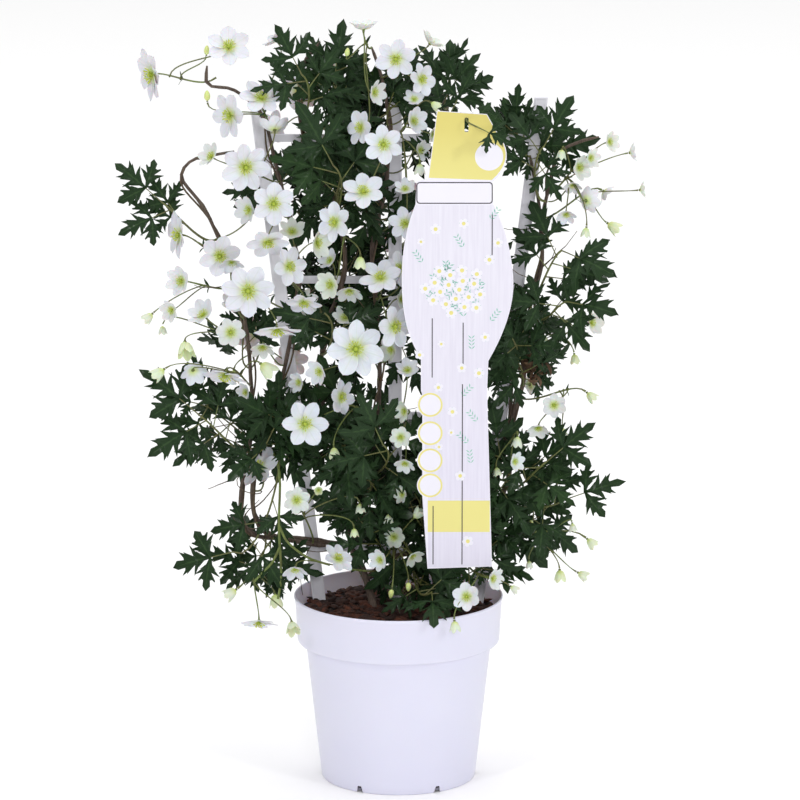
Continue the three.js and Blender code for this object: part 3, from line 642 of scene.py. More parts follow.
def draws(seed: int) -> Iterator[float]:
    """Seeded draws between 0 and 1, the same on every run.

    Args:
        seed: The number that they start from.

    Yields:
        One draw after another.
    """
    full = 0xFFFFFFFF
    state = seed
    while True:
        state = (state + 0x6D2B79F5) & full
        mixed = (state ^ (state >> 15)) * (state | 1) & full
        mixed ^= (mixed + (mixed ^ (mixed >> 7)) * (mixed | 61)) & full
        yield ((mixed ^ (mixed >> 14)) & full) / 2**32


class Curve:
    """A smooth curve that is walked by its length."""

    CHORDS = 200

    def __init__(self) -> None:
        """Measures the curve in chords."""
        spots = [self.point(i / self.CHORDS) for i in range(self.CHORDS + 1)]
        self.lengths = [0.0]
        for here, there in zip(spots, spots[1:]):
            self.lengths.append(self.lengths[-1] + (there - here).length)

    def point(self, share: float) -> Vector:
        """The point at a share of the curve's own parameter."""
        raise NotImplementedError

    def at(self, share: float) -> Vector:
        """The point at a share of the length."""
        target = share * self.lengths[-1]
        i = min(bisect_right(self.lengths, target) - 1, self.CHORDS - 1)
        run = self.lengths[i + 1] - self.lengths[i]
        return self.point((i + (target - self.lengths[i]) / run) / self.CHORDS)

    def walk(self, steps: int, start: float = 0.0, end: float = 1.0) -> list[Vector]:
        """Points at even lengths, from one share to another."""
        return [self.at(start + (end - start) * i / steps) for i in range(steps + 1)]

    def on_rod(self, steps: int, share: float) -> tuple[Vector, Vector]:
        """A spot on the straight runs between a rod's rings.

        Args:
            steps: The rod's runs.
            share: How far along the spot is.

        Returns:
            The spot, and the way the rod heads there.
        """
        i = min(int(share * steps), steps - 1)
        here = self.at(i / steps)
        there = self.at((i + 1) / steps)
        return here.lerp(there, share * steps - i), (there - here).normalized()


class Bend(Curve):
    """A cubic Bezier curve."""

    def __init__(self, *corners: Vector) -> None:
        """Starts from the curve's four corners."""
        self.corners = corners
        super().__init__()

    def point(self, share: float) -> Vector:
        """The point at a share of the curve's own parameter."""
        a, b, c, d = self.corners
        rest = 1 - share
        return a * rest**3 + b * (3 * rest * rest * share) + c * (3 * rest * share * share) + d * share**3


class Route(Curve):
    """A smooth curve through a list of points."""

    def __init__(self, points: list[tuple[float, float, float]]) -> None:
        """Starts from the points, and carries each end straight on."""
        inner = [Vector(p) for p in points]
        self.points = [2 * inner[0] - inner[1], *inner, 2 * inner[-1] - inner[-2]]
        super().__init__()

    def point(self, share: float) -> Vector:
        """The point at a share of the curve's own parameter."""
        spans = len(self.points) - 3
        i = min(int(share * spans), spans - 1)
        w = share * spans - i
        before, here, there, after = self.points[i:i + 4]
        leave, reach = (there - before) / 2, (after - here) / 2
        return (here + leave * w + (3 * (there - here) - 2 * leave - reach) * w**2
                + (2 * (here - there) + leave + reach) * w**3)


class Solid:
    """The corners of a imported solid, in millimetres."""

    def __init__(self, node: str) -> None:
        """Files the corners of a node."""
        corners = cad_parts[node].data.vertices
        self.tree = KDTree(len(corners))
        for i, corner in enumerate(corners):
            self.tree.insert(corner.co / MM, i)
        self.tree.balance()

    def has(self, point: Vector) -> bool:
        """Whether a corner lies at a point."""
        return self.tree.find(point)[2] < SAME_CORNER

    def on_ring(self, centre: Vector, radius: float) -> int:
        """How many corners lie a radius away from a centre."""
        near = self.tree.find_range(centre, radius + SAME_CORNER)
        return sum(distance > radius - SAME_CORNER for _, _, distance in near)


DEPTH_STEPS = (0, -8, 8, -16, 16, -24, 24, -34, 34)
DEPTH_RISE = 0.19
SAGS = (0, 0.18, -0.18, 0.34, -0.34, 0, 0.2, -0.2)
HOPS = (0, 2, -2, 4, -4, 7, -7, 10)
GAP = 0.3
ANY_PHASE = (0, 6.28)
WANDER_SEED = 3


def polar(reach: float, angle: float) -> Spot:
    """The spot at a reach and an angle."""
    return reach * math.cos(angle), reach * math.sin(angle)


@dataclass
class Root:
    """Where a stalk starts, and the way it leaves."""

    base: Vector
    out: Vector


def stalk_to(root: Root, end: Vector, direction: Vector, sag: float) -> Bend:
    """A stalk that leaves its root outwards and reaches its end along a direction.

    Args:
        root: Where it starts.
        end: Where it ends.
        direction: The way it heads at its end.
        sag: How far it is bent aside, as a share of its length.

    Returns:
        The stalk's curve.
    """
    length = (root.base - end).length
    first = root.base + root.out * (0.3 * length) + Vector((sag * length, 0, 0))
    last = end - direction * (0.25 * length) + Vector((0, 0, 0.4 * abs(sag) * length))
    return Bend(root.base, first, last, end)


def wander(point: Vector, scale: float, amount: float) -> Vector:
    """A smooth seeded offset that varies over space."""
    return noise.noise_vector(point / scale) * amount


# The plant


@dataclass
class WoodyStems:
    """The trunk out of the soil, and the vines that climb the trellis."""

    radius: float = 2.0
    runs: int = 16
    trunk_radii: Spot = (4.2, 3.0)
    vine_radii: Spot = (2.2, 1.4)
    ring_every: float = 7.0
    bumps: float = 0.16
    knot: float = 0.3
    knot_every: int = 9
    blunt_tip: float = 0.55
    young_radius: float = 1.15
    young_runs: int = 14
    trunk: tuple = ((-20, 0, 100), (-21, 1, 126), (-22, 2, 152), (-30, 9, 182), (-44, 19, 211))
    vines: tuple = (
        ((-44, 19, 211), (-90, 20, 217), (-128, 20, 219), (-142, 20, 234), (-143, 20, 262), (-133, 20, 319),
         (-134, 20, 370), (-139, 20, 421), (-152, 18, 470), (-173, 16, 521), (-194, 12, 552), (-187, 10, 568),
         (-170, 10, 573), (-147, 12, 577)),
        ((-44, 19, 211), (-88, 16, 214), (-122, 15, 226), (-133, 15, 253), (-127, 15, 300), (-110, 15, 350),
         (-98, 15, 402), (-89, 15, 458), (-98, 15, 513), (-111, 15, 568), (-122, 15, 609), (-146, 13, 632),
         (-170, 10, 638), (-171, 10, 655)),
        ((-44, 19, 211), (-49, 20, 253), (-58, 20, 300), (-70, 20, 356), (-66, 20, 412), (-48, 20, 467),
         (-57, 20, 522), (-82, 20, 577), (-89, 20, 622), (-85, 18, 655), (-70, 14, 676)),
        ((-44, 19, 211), (-28, 16, 253), (-21, 15, 309), (-17, 15, 365), (-19, 15, 430), (-24, 15, 485),
         (-12, 15, 540), (-8, 15, 595), (-14, 14, 640), (-24, 10, 672)),
        ((-30, 9, 182), (-6, 14, 200), (29, 18, 214), (51, 20, 272), (58, 20, 347), (62, 20, 412),
         (66, 20, 476), (64, 20, 540), (52, 20, 586), (38, 15, 630)),
        ((-30, 9, 182), (4, 10, 193), (47, 14, 200), (79, 17, 234), (91, 20, 281), (101, 20, 330),
         (103, 20, 378), (112, 20, 425), (125, 20, 462), (130, 20, 494), (125, 20, 536), (118, 19, 572)),
        ((79, 17, 234), (100, 14, 275), (101, 13, 320), (112, 12, 361), (115, 12, 391), (118, 12, 430),
         (129, 12, 474), (128, 12, 508), (134, 12, 540), (143, 10, 574), (160, 6, 586), (179, 2, 592)),
    )
    young: tuple = (
        ((-127, 14, 308), (-113, -8, 304), (-107, -24, 284), (-108, -29, 240), (-106, -30, 196),
         (-109, -33, 174)),
        ((-108, -29, 242), (-100, -29, 226), (-82, -30, 212), (-62, -34, 206)),
        ((-107, -30, 222), (-114, -32, 208), (-122, -34, 200), (-131, -35, 190)),
    )

    def __post_init__(self) -> None:
        """Works out the routes, and the spots on them where stalks may start."""
        self.routes = [Route(points) for points in self.vines]
        shares = [(i + 2) / (2 * self.runs) for i in range(2 * self.runs - 1)]
        self.spots = [[route.on_rod(self.runs, share) for share in shares] for route in self.routes]

    def root_near(self, target: Vector, hop: int) -> Root:
        """The root on a vine's side that is nearest to a target, or a few spots along from it.

        Args:
            target: What the stalk reaches for.
            hop: How many spots along the vine to move.

        Returns:
            The root.
        """
        nearest = ((i, spots) for spots in self.spots for i in range(len(spots)))
        i, spots = min(nearest, key=lambda found: (found[1][found[0]][0] - target).length)
        spot, along = spots[min(max(i + hop, 0), len(spots) - 1)]
        out = target - spot
        out = (out - along * out.dot(along)).normalized()
        return Root(spot + out * (self.radius + GAP), out)

    def gnarled(self, route: Curve, ends: Spot, sides: int) -> Shape:
        """A woody stem with swellings, which thins towards its tip.

        Args:
            route: Its middle line.
            ends: Its radius at the foot and at the tip.
            sides: Corners in a ring.

        Returns:
            The stem.
        """
        thick, thin = ends
        steps = max(6, int(route.lengths[-1] / self.ring_every))
        points = [p + wander(p, 22, 0.5) for p in route.walk(steps)]
        radii = []
        for i, point in enumerate(points):
            knot = self.knot if i % self.knot_every == self.knot_every // 2 else 0.0
            bulge = 1 + self.bumps * noise.noise(point / 6) + knot
            radii.append((thick + (thin - thick) * i / steps) * bulge)
        radii[-1] *= self.blunt_tip
        return tube(points, radii, sides)

    def build(self) -> None:
        """Makes the trunk and the vines, what is wound along them, and young stems beside them."""
        piece = Piece("woody_vines", "woody_stem", Finish.WOOD)
        piece.stamp(self.gnarled(Route(self.trunk), self.trunk_radii, 10))
        for i, route in enumerate(self.routes):
            piece.stamp(self.gnarled(route, self.vine_radii, 8), tone=0.25 + 0.1 * (i % 4))
        piece.finish("woody_stems")
        ThinStems(self).build()
        fresh = Piece("young_stems", "leaf", Finish.STALK)
        for points in self.young:
            radii = [self.young_radius] * (self.young_runs + 1)
            fresh.stamp(tube(Route(points).walk(self.young_runs), radii, 6), tone=0.0)
        fresh.finish()
        DryLeaves(self).build()


@dataclass
class ThinStems:
    """What climbs among the vines: a stem wound along each, bare twigs, and wiry curls low down."""

    vines: WoodyStems
    seed: int = 41
    twig_count: int = 46
    twig_runs: int = 9
    twig_radius: float = 0.75
    twig_reach: Spot = (18, 62)
    curl_count: int = 16
    curl_runs: int = 14
    curl_radius: float = 0.6
    curl_step: float = 4.6
    wound_runs: int = 70
    wound_radius: float = 0.9
    wound_turn: float = 0.34

    def build(self) -> None:
        """Makes them all as one piece."""
        piece = Piece("thin_stems", "woody_stem", Finish.TWIG)
        for i, route in enumerate(self.vines.routes):
            piece.stamp(self.wound(route, i), tone=0.7)
        rng = Random(self.seed)
        for _ in range(self.twig_count):
            piece.stamp(self.twig(rng), tone=rng.uniform(0.2, 1.0))
        for _ in range(self.curl_count):
            piece.stamp(self.curl(rng), tone=rng.uniform(0.6, 1.0))
        piece.finish()

    def wound(self, route: Curve, number: int) -> Shape:
        """A thin stem wound slowly along a vine, whose number turns the winding."""
        points = []
        for i, point in enumerate(route.walk(self.wound_runs, 0.04, 0.9)):
            angle = self.wound_turn * i + number
            reach = 3.4 + 1.4 * math.sin(0.21 * i + number)
            points.append(point + Vector((math.cos(angle), math.sin(angle), 0)) * reach)
        return tube(points, [self.wound_radius] * len(points), 5)

    def twig(self, rng: Random) -> Shape:
        """A bare, dry side twig, from somewhere along a vine."""
        spots = rng.choice(self.vines.spots)
        spot, _ = rng.choice(spots[2:24])
        reach = Vector((rng.uniform(-1, 1), rng.uniform(-0.5, 0.4), rng.uniform(-0.2, 1))).normalized()
        end = spot + reach * rng.uniform(*self.twig_reach)
        curve = stalk_to(Root(spot, reach), end, (reach + UP * 0.6).normalized(), rng.uniform(-0.3, 0.3))
        points = [p + wander(p, 9, 0.9) for p in curve.walk(self.twig_runs)]
        return tube(points, [self.twig_radius - 0.05 * i for i in range(len(points))], 4)

    def curl(self, rng: Random) -> Shape:
        """A wiry dry stem that curls between the lower vines."""
        target = Vector((rng.uniform(-125, -55), rng.uniform(-20, 12), rng.uniform(225, 300)))
        points = [self.vines.root_near(target, 0).base]
        heading, turning, lift = rng.uniform(*ANY_PHASE), rng.uniform(-0.6, 0.6), rng.uniform(-1.2, 2.4)
        for i in range(self.curl_runs):
            heading += turning * (1 + 0.5 * math.sin(0.9 * i))
            forward = 0.55 * math.sin(0.6 * heading) - 0.12
            step = Vector((math.cos(heading), forward, 0.7 * math.sin(heading)))
            points.append(points[-1] + step * self.curl_step + UP * lift)
        return tube(points, [self.curl_radius - 0.02 * i for i in range(len(points))], 4)


@dataclass
class DryLeaves:
    """The shrivelled leaves that hang at the right, and a few along the vines."""

    vines: WoodyStems
    seed: int = 5
    count: int = 34
    skin: float = 0.3
    length: Spot = (9, 21)
    curl: Spot = (1.2, 3.0)
    slimness: Spot = (0.1, 0.2)

    def build(self) -> None:
        """Makes the leaves as one piece."""
        rng = Random(self.seed)
        piece = Piece("dry_leaves", "woody_stem", Finish.DRY)
        for i in range(self.count):
            target = Vector((rng.uniform(112, 140), rng.uniform(-6, 16), rng.uniform(368, 396)))
            if i % 4 == 3:
                target = rng.choice(rng.choice(self.vines.spots))[0]
            spot = self.vines.root_near(target, 0).base.lerp(target, rng.uniform(0.2, 0.8))
            length, curl = rng.uniform(*self.length), rng.uniform(*self.curl)
            bend = self.bend(length, curl, length * rng.uniform(*self.slimness))
            turn = Quaternion([rng.gauss(0, 1) for _ in range(4)]).normalized().to_matrix().to_4x4()
            piece.stamp(blade(4, 6, self.skin, bend), Matrix.Translation(spot) @ turn, rng.random())
        piece.finish()

    def bend(self, length: float, curl: float, wide: float) -> Place:
        """The bend of one rolled leaf.

        Args:
            length: Its length along the roll.
            curl: How far it is rolled up, in radians.
            wide: Half its width.

        Returns:
            Where a corner of the grid goes.
        """
        def place(across: float, share: float) -> Vector:
            angle = curl * share
            half = wide * math.sin(math.pi * (0.06 + 0.9 * share))
            fold = 0.5 * half * math.cos(2.4 * across)
            drop = length * (1 - math.cos(angle)) / curl
            return Vector((length * math.sin(angle) / curl, across * half, fold - drop))

        return place


@dataclass(frozen=True)
class Form:
    """A flower's form: its petals in the solid, as shares of half its span, and then what is shown."""

    petals: int
    rise: float
    spread: float
    age: Spot
    tepals: int = 0
    curl: float = 0.0
    power: float = 0.0
    swell: float = 0.0
    girth: float = 0.0
    stamens: int = 0


class Stage(Enum):
    """How far a flower has opened."""

    OPEN = Form(6, 0.16, 1.0, (0.0, 0.1), 6, 0.0, 2.0, 1.0, 0.325, 30)
    HALF = Form(5, 0.5, 0.9, (0.12, 0.5), 6, 0.55, 1.5, 0.8, 0.34, 20)
    BELL = Form(4, 1.1, 0.62, (0.55, 0.95), 5, 1.0, 1.2, 0.5, 0.34, 8)
    BUD = Form(4, 0.8, 0.5, (0.85, 1.0))


LETTERS = {"F": (0, -1, 0), "B": (0, 1, 0), "L": (-1, 0, 0), "R": (1, 0, 0), "U": (0, 0, 1), "D": (0, 0, -1)}


def facing(word: str) -> Vector:
    """The direction that a word such as FLU names, for front, left and up, tipped a little up."""
    return sum((Vector(LETTERS[letter]) for letter in word), Vector((0, 0, 0.12))).normalized()


@dataclass
class Flower:
    """One flower: its centre, span, stage and the way it faces."""

    x: float
    y: float
    z: float
    span: float
    word: str
    facing: str

    @property
    def form(self) -> Form:
        """The form of its stage."""
        return Stage[self.word.upper()].value

    @property
    def reach(self) -> float:
        """Half its span."""
        return self.span / 2

    @property
    def centre(self) -> Vector:
        """Its centre, as it is listed."""
        return Vector((self.x, self.y, self.z))


@dataclass
class Bloom:
    """A flower found in its solid: where its head is, and the stalk that carries it."""

    flower: Flower
    centre: Vector
    turn: Quaternion
    stalk: Bend

    @property
    def matrix(self) -> Matrix:
        """The head's place and turn."""
        return Matrix.Translation(self.centre) @ self.turn.to_matrix().to_4x4()


@dataclass
class Head:
    """The fine shape of a flower's head, in its own frame, where it faces up."""

    bloom: Bloom
    rng: Random
    skin: float = 0.35
    extra_from: float = 22
    stamen_share: float = 0.3
    core_share: float = 0.085
    bud_girth: float = 0.5
    bud_height: float = 0.85

    def __post_init__(self) -> None:
        """Files the flower's form and half its span."""
        self.form = self.bloom.flower.form
        self.reach = self.bloom.flower.reach

    def grow(self, piece: Piece, stamen: bpy.types.Mesh) -> None:
        """Stamps the tepals and the stamens, or a closed bud.

        Args:
            piece: The piece that takes them.
            stamen: One stamen, a millimetre high.
        """
        if not self.form.tepals:
            self.bud(piece)
            return
        large = self.form is Stage.OPEN.value and self.reach > self.extra_from
        count = self.form.tepals + large
        tone = self.rng.uniform(*self.form.age)
        for i in range(count):
            spin = Matrix.Rotation(math.tau * i / count + self.rng.uniform(-0.06, 0.06), 4, "Z")
            piece.stamp(blade(4, 6, self.skin, self.tepal(count, i % 2)), self.bloom.matrix @ spin, tone)
        self.middle(piece, stamen)

    def tepal(self, count: int, inner: int) -> Place:
        """The bend of one tepal.

        Args:
            count: How many tepals there are.
            inner: 1 for a tepal of the inner ring.

        Returns:
            Where a corner of the grid goes.
        """
        rng, form, reach = self.rng, self.form, self.reach
        length = rng.uniform(0.95, 1.0)
        wide = rng.uniform(0.9, 1.1)
        twist = rng.uniform(0.05, 0.15)
        wave = rng.uniform(*ANY_PHASE)
        tip = rng.uniform(-0.06, 0.03)
        girth = form.girth * (6 / count) ** 0.4
        blunt = rng.uniform(0.6, 0.78)

        def place(across: float, along: float) -> Vector:
            t = 1 - (1 - along) ** 1.5
            out = reach * form.spread * length * (0.05 + 0.95 * t**form.swell)
            fullness = (0.06 + 0.94 * t) ** 1.35
            half = wide * girth * reach * (4 * fullness * (1 - fullness)) ** blunt
            aside = across * half
            angle = aside / max(out, 0.1 * reach)
            x = out * (1 - form.curl * (1 - math.cos(angle)))
            y = aside * (1 - form.curl) + form.curl * out * math.sin(angle)
            ruffle = 0.025 * math.sin(5 * t + wave) * across * t
            trough = 0.09 * across * across * math.sin(math.pi * t) * (1 - form.curl)
            z = reach * (form.rise * t**form.power + ruffle + trough - 0.03 * inner * (1 - t) + tip * t**4)
            return Vector((x, y, z + twist * aside))

        return place

    def middle(self, piece: Piece, stamen: bpy.types.Mesh) -> None:
        """Stamps the pistils and a ring of copies of one stamen."""
        reach, rng = self.reach, self.rng
        core = solid_of(bmesh.ops.create_icosphere, subdivisions=2, radius=self.core_share * reach)
        lift = Matrix.Translation((0, 0, 0.09 * reach)) @ Matrix.Diagonal((1, 1, 1.5, 1))
        piece.stamp(core, self.bloom.matrix @ lift, 0.25, 1)
        foot = Matrix.Translation((0.05 * reach, 0, 0.03 * reach))
        for i in range(self.form.stamens):
            angle = math.tau * i / self.form.stamens + rng.uniform(-0.12, 0.12)
            lean = rng.uniform(0.35, 0.6) if i % 2 else rng.uniform(0.75, 1.05)
            size = self.stamen_share * reach * rng.uniform(0.8, 1.1)
            turn = Matrix.Rotation(angle, 4, "Z") @ foot @ Matrix.Rotation(lean, 4, "Y")
            copy = stamen.copy()
            copy.transform(self.bloom.matrix @ turn @ Matrix.Scale(size, 4))
            piece.take(copy)

    def bud(self, piece: Piece) -> None:
        """Stamps a closed bud with four seams."""
        shape = solid_of(bmesh.ops.create_uvsphere, u_segments=16, v_segments=9, radius=1.0)
        for vert in shape.verts:
            x, y, z = vert.co
            seam = 1 - 0.1 * abs(math.sin(2 * math.atan2(y, x))) ** 6
            girth = (self.bud_girth - 0.12 * z) * seam
            vert.co = Vector((x * girth, y * girth, self.bud_height + self.bud_height * z)) * self.reach
        piece.stamp(shape, self.bloom.matrix, self.rng.uniform(*self.form.age))


def stamen_mesh() -> bpy.types.Mesh:
    """One stamen a millimetre high, a thin filament and its anther, in a flower's second finish."""
    one = Piece("stamen", "petal", Finish.PETAL, Finish.STAMEN)
    points = [Vector(p) for p in ((0, 0, 0), (0.02, 0, 0.45), (0, 0, 0.84))]
    one.stamp(tube(points, [0.045, 0.03, 0.025], 3), tone=0.3, finish=1)
    anther = solid_of(bmesh.ops.create_icosphere, subdivisions=1, radius=0.1)
    stretch = Matrix.Translation((0, 0, 0.86)) @ Matrix.Diagonal((0.8, 0.8, 1.9, 1))
    one.stamp(anther, stretch, 0.95, 1)
    mesh = to_mesh("stamen", one.bm)
    mesh.polygons.foreach_set("use_smooth", [True] * len(mesh.polygons))
    return mesh


@dataclass
class Spray:
    """One spray: its flowers, found in their solid, and the stalks that carry them."""

    vines: WoodyStems
    name: str
    number: int
    flowers: list[Flower]
    wobble: float = 0.35
    calyx: float = 1.8
    first_runs: int = 4
    later_runs: int = 2
    first_radius: float = 1.0
    later_radius: float = 0.7
    shown_first: float = 0.85
    shown_later: float = 0.62
    plain_runs: int = 10
    foot_swell: tuple = (1.25, 1.15)
    neck_swell: tuple = (0.85, 0.8, 0.95, 1.5)
    carrier_offset: tuple = (0, 12, -26)

    def find(self) -> list[Bloom]:
        """Finds the blooms in the solid, the first of which carries the others."""
        solid = Solid(self.name)
        blooms: list[Bloom] = []
        for i, flower in enumerate(self.flowers):
            carrier = blooms[0].stalk if blooms else None
            blooms.append(self.find_one(flower, 1000 * self.number + i, solid, carrier))
        return blooms

    def find_one(self, flower: Flower, seed: int, solid: Solid, carrier: Bend | None) -> Bloom:
        """Finds one flower.

        Args:
            flower: Its centre, span, stage and facing.
            seed: The seed of its draws.
            solid: The spray's solid.
            carrier: The spray's first stalk, if this isn't it.

        Returns:
            The bloom.
        """
        draw = draws(seed)
        direction = facing(flower.facing)
        direction.x += self.wobble * (next(draw) - 0.5)
        direction.z += self.wobble * (next(draw) - 0.5)
        direction.normalize()
        turn = UP.rotation_difference(direction) @ Quaternion(UP, next(draw) * math.pi)
        share = 0.35 + 0.4 * next(draw)
        form, reach = flower.form, flower.reach
        tips = []
        for i in range(form.petals):
            spin = Quaternion(UP, math.tau * i / form.petals)
            tips.append(turn @ (spin @ Vector((reach * form.spread, 0, reach * form.rise))))

        def centre_at(shift: float) -> Vector:
            return Vector((flower.x, flower.y + shift, flower.z - shift * DEPTH_RISE))

        def tips_met(shift: float) -> int:
            return sum(solid.has(centre_at(shift) + tip) for tip in tips)

        shift = max(DEPTH_STEPS, key=tips_met)
        if not tips_met(shift):
            LOG.warning("%s: no petal of flower %d is found", self.name, seed)
        centre = centre_at(shift)
        end = centre - direction * self.calyx
        runs, radius = self.first_runs, self.first_radius
        if carrier:
            runs, radius = self.later_runs, self.later_radius
        stalks = []
        for sag, hop in zip(SAGS, HOPS):
            if carrier:
                spot, along = carrier.on_rod(self.first_runs, share)
                root = Root(spot, (along + (centre - spot).normalized() * 1.2).normalized())
            else:
                target = Vector((0.85 * flower.x, flower.y + shift, flower.z)) + Vector(self.carrier_offset)
                root = self.vines.root_near(target, hop)
            stalks.append(stalk_to(root, end, direction, sag))

        def rings_met(stalk: Bend) -> int:
            return sum(solid.on_ring(stalk.at(i / runs), radius) for i in range(1, runs))

        return Bloom(flower, centre, turn, max(stalks, key=rings_met))

    def build(self, stamen: bpy.types.Mesh) -> None:
        """Makes the blooms as one piece and their stalks as another.

        Args:
            stamen: One stamen, a millimetre high.
        """
        rng = Random(self.number)
        blooms = self.find()
        short = self.name.removeprefix("spray_")
        heads = Piece(f"blooms_{short}", "petal", Finish.PETAL, Finish.STAMEN)
        for bloom in blooms:
            Head(bloom, rng).grow(heads, stamen)
        heads.tuck()
        heads.finish(self.name)
        stalks = Piece(f"stalks_{short}", "leaf", Finish.STALK, Finish.LEAF)
        for i, bloom in enumerate(blooms):
            self.stalk(stalks, bloom, rng, self.shown_later if i else self.shown_first)
        self.bracts(stalks, blooms[0].stalk, rng)
        stalks.tuck()
        stalks.finish()

    def stalk(self, piece: Piece, bloom: Bloom, rng: Random, radius: float) -> None:
        """Stamps a stalk, which swells under its flower.

        Args:
            piece: The piece that takes it.
            bloom: The flower that it carries.
            rng: The seeded draws.
            radius: Its radius.
        """
        swells = (*self.foot_swell, *[1.0] * self.plain_runs, *self.neck_swell)
        points = bloom.stalk.walk(len(swells) - 2)
        inward = (points[0] - points[1]).normalized()
        points = [points[0] + inward * 1.6, *points]
        piece.stamp(tube(points, [radius * swell for swell in swells], 6), tone=rng.uniform(0.0, 0.55))
        size = 0.06 * bloom.flower.span ** 0.9 + 0.5
        cup = solid_of(bmesh.ops.create_uvsphere, u_segments=8, v_segments=5, radius=size)
        base = bloom.matrix @ Matrix.Translation((0, 0, -0.55)) @ Matrix.Diagonal((1, 1, 0.6, 1))
        piece.stamp(cup, base, 0.1)

    def bracts(self, piece: Piece, stalk: Bend, rng: Random) -> None:
        """Stamps a pair of small bracts on a stalk."""
        spot, along = stalk.on_rod(14, rng.uniform(0.4, 0.7))
        side = along.orthogonal().normalized()
        for sign in (-1, 1):
            length = rng.uniform(6, 10)
            direction = (side * sign + along * 0.9).normalized()
            normal = (along - direction * along.dot(direction)).normalized()
            basis = Matrix((direction, normal.cross(direction), normal)).transposed().to_4x4()

            def place(across: float, share: float, length: float = length) -> Vector:
                half = length * 0.16 * math.sin(math.pi * min(0.98, 0.12 + share * 0.88))
                return Vector((length * share, across * half, -0.3 * length * share * share))

            shape = blade(2, 4, 0.3, place)
            piece.stamp(shape, Matrix.Translation(spot) @ basis, rng.uniform(0.4, 0.9), 1)


@dataclass
class LooseSpray(Spray):
    """Flowers between the sprays, each on a stalk of its own from a vine."""

    runs: int = 12
    radius: float = 0.65

    def find(self) -> list[Bloom]:
        """Places each flower on a stalk from the nearest vine."""
        blooms = []
        for i, flower in enumerate(self.flowers):
            draw = draws(1000 * self.number + i)
            direction = facing(flower.facing)
            turn = UP.rotation_difference(direction) @ Quaternion(UP, next(draw) * math.pi)
            root = self.vines.root_near(flower.centre + Vector(self.carrier_offset), 0)
            end = flower.centre - direction * self.calyx
            stalk = stalk_to(root, end, direction, 0.36 * (next(draw) - 0.5))
            blooms.append(Bloom(flower, flower.centre, turn, stalk))
        return blooms

    def build(self, stamen: bpy.types.Mesh) -> None:
        """Makes the flowers and their stalks as one piece.

        Args:
            stamen: One stamen, a millimetre high.
        """
        rng = Random(self.number)
        piece = Piece(self.name, "petal", Finish.PETAL, Finish.STAMEN, Finish.STALK)
        for bloom in self.find():
            Head(bloom, rng).grow(piece, stamen)
            stem = tube(bloom.stalk.walk(self.runs), [self.radius] * (self.runs + 1), 6)
            piece.stamp(stem, tone=rng.uniform(0.0, 0.5), finish=2)
        piece.tuck()
        piece.finish()


class Lobes(Enum):
    """A leaflet's rows as shares of its length: the row's start on the rib, then its end on the edge."""

    SIDE = (
        (0.0, 0.0, 0.03), (0.2, 0.22, 0.05), (0.25, 0.4, 0.2), (0.28, 0.38, 0.15), (0.33, 0.58, 0.35),
        (0.4, 0.52, 0.16), (0.45, 0.48, 0.06), (0.5, 0.7, 0.2), (0.54, 0.74, 0.18), (0.6, 0.68, 0.1),
        (0.66, 0.7, 0.045), (0.8, 0.86, 0.08), (1.0, 1.0, 0.0))
    MIDDLE = (
        (0.0, 0.0, 0.02), (0.14, 0.16, 0.04), (0.19, 0.32, 0.17), (0.22, 0.31, 0.13), (0.27, 0.47, 0.34),
        (0.33, 0.44, 0.15), (0.38, 0.41, 0.055), (0.44, 0.66, 0.22), (0.48, 0.64, 0.17), (0.53, 0.77, 0.24),
        (0.59, 0.68, 0.1), (0.65, 0.68, 0.045), (0.8, 0.86, 0.08), (1.0, 1.0, 0.0))


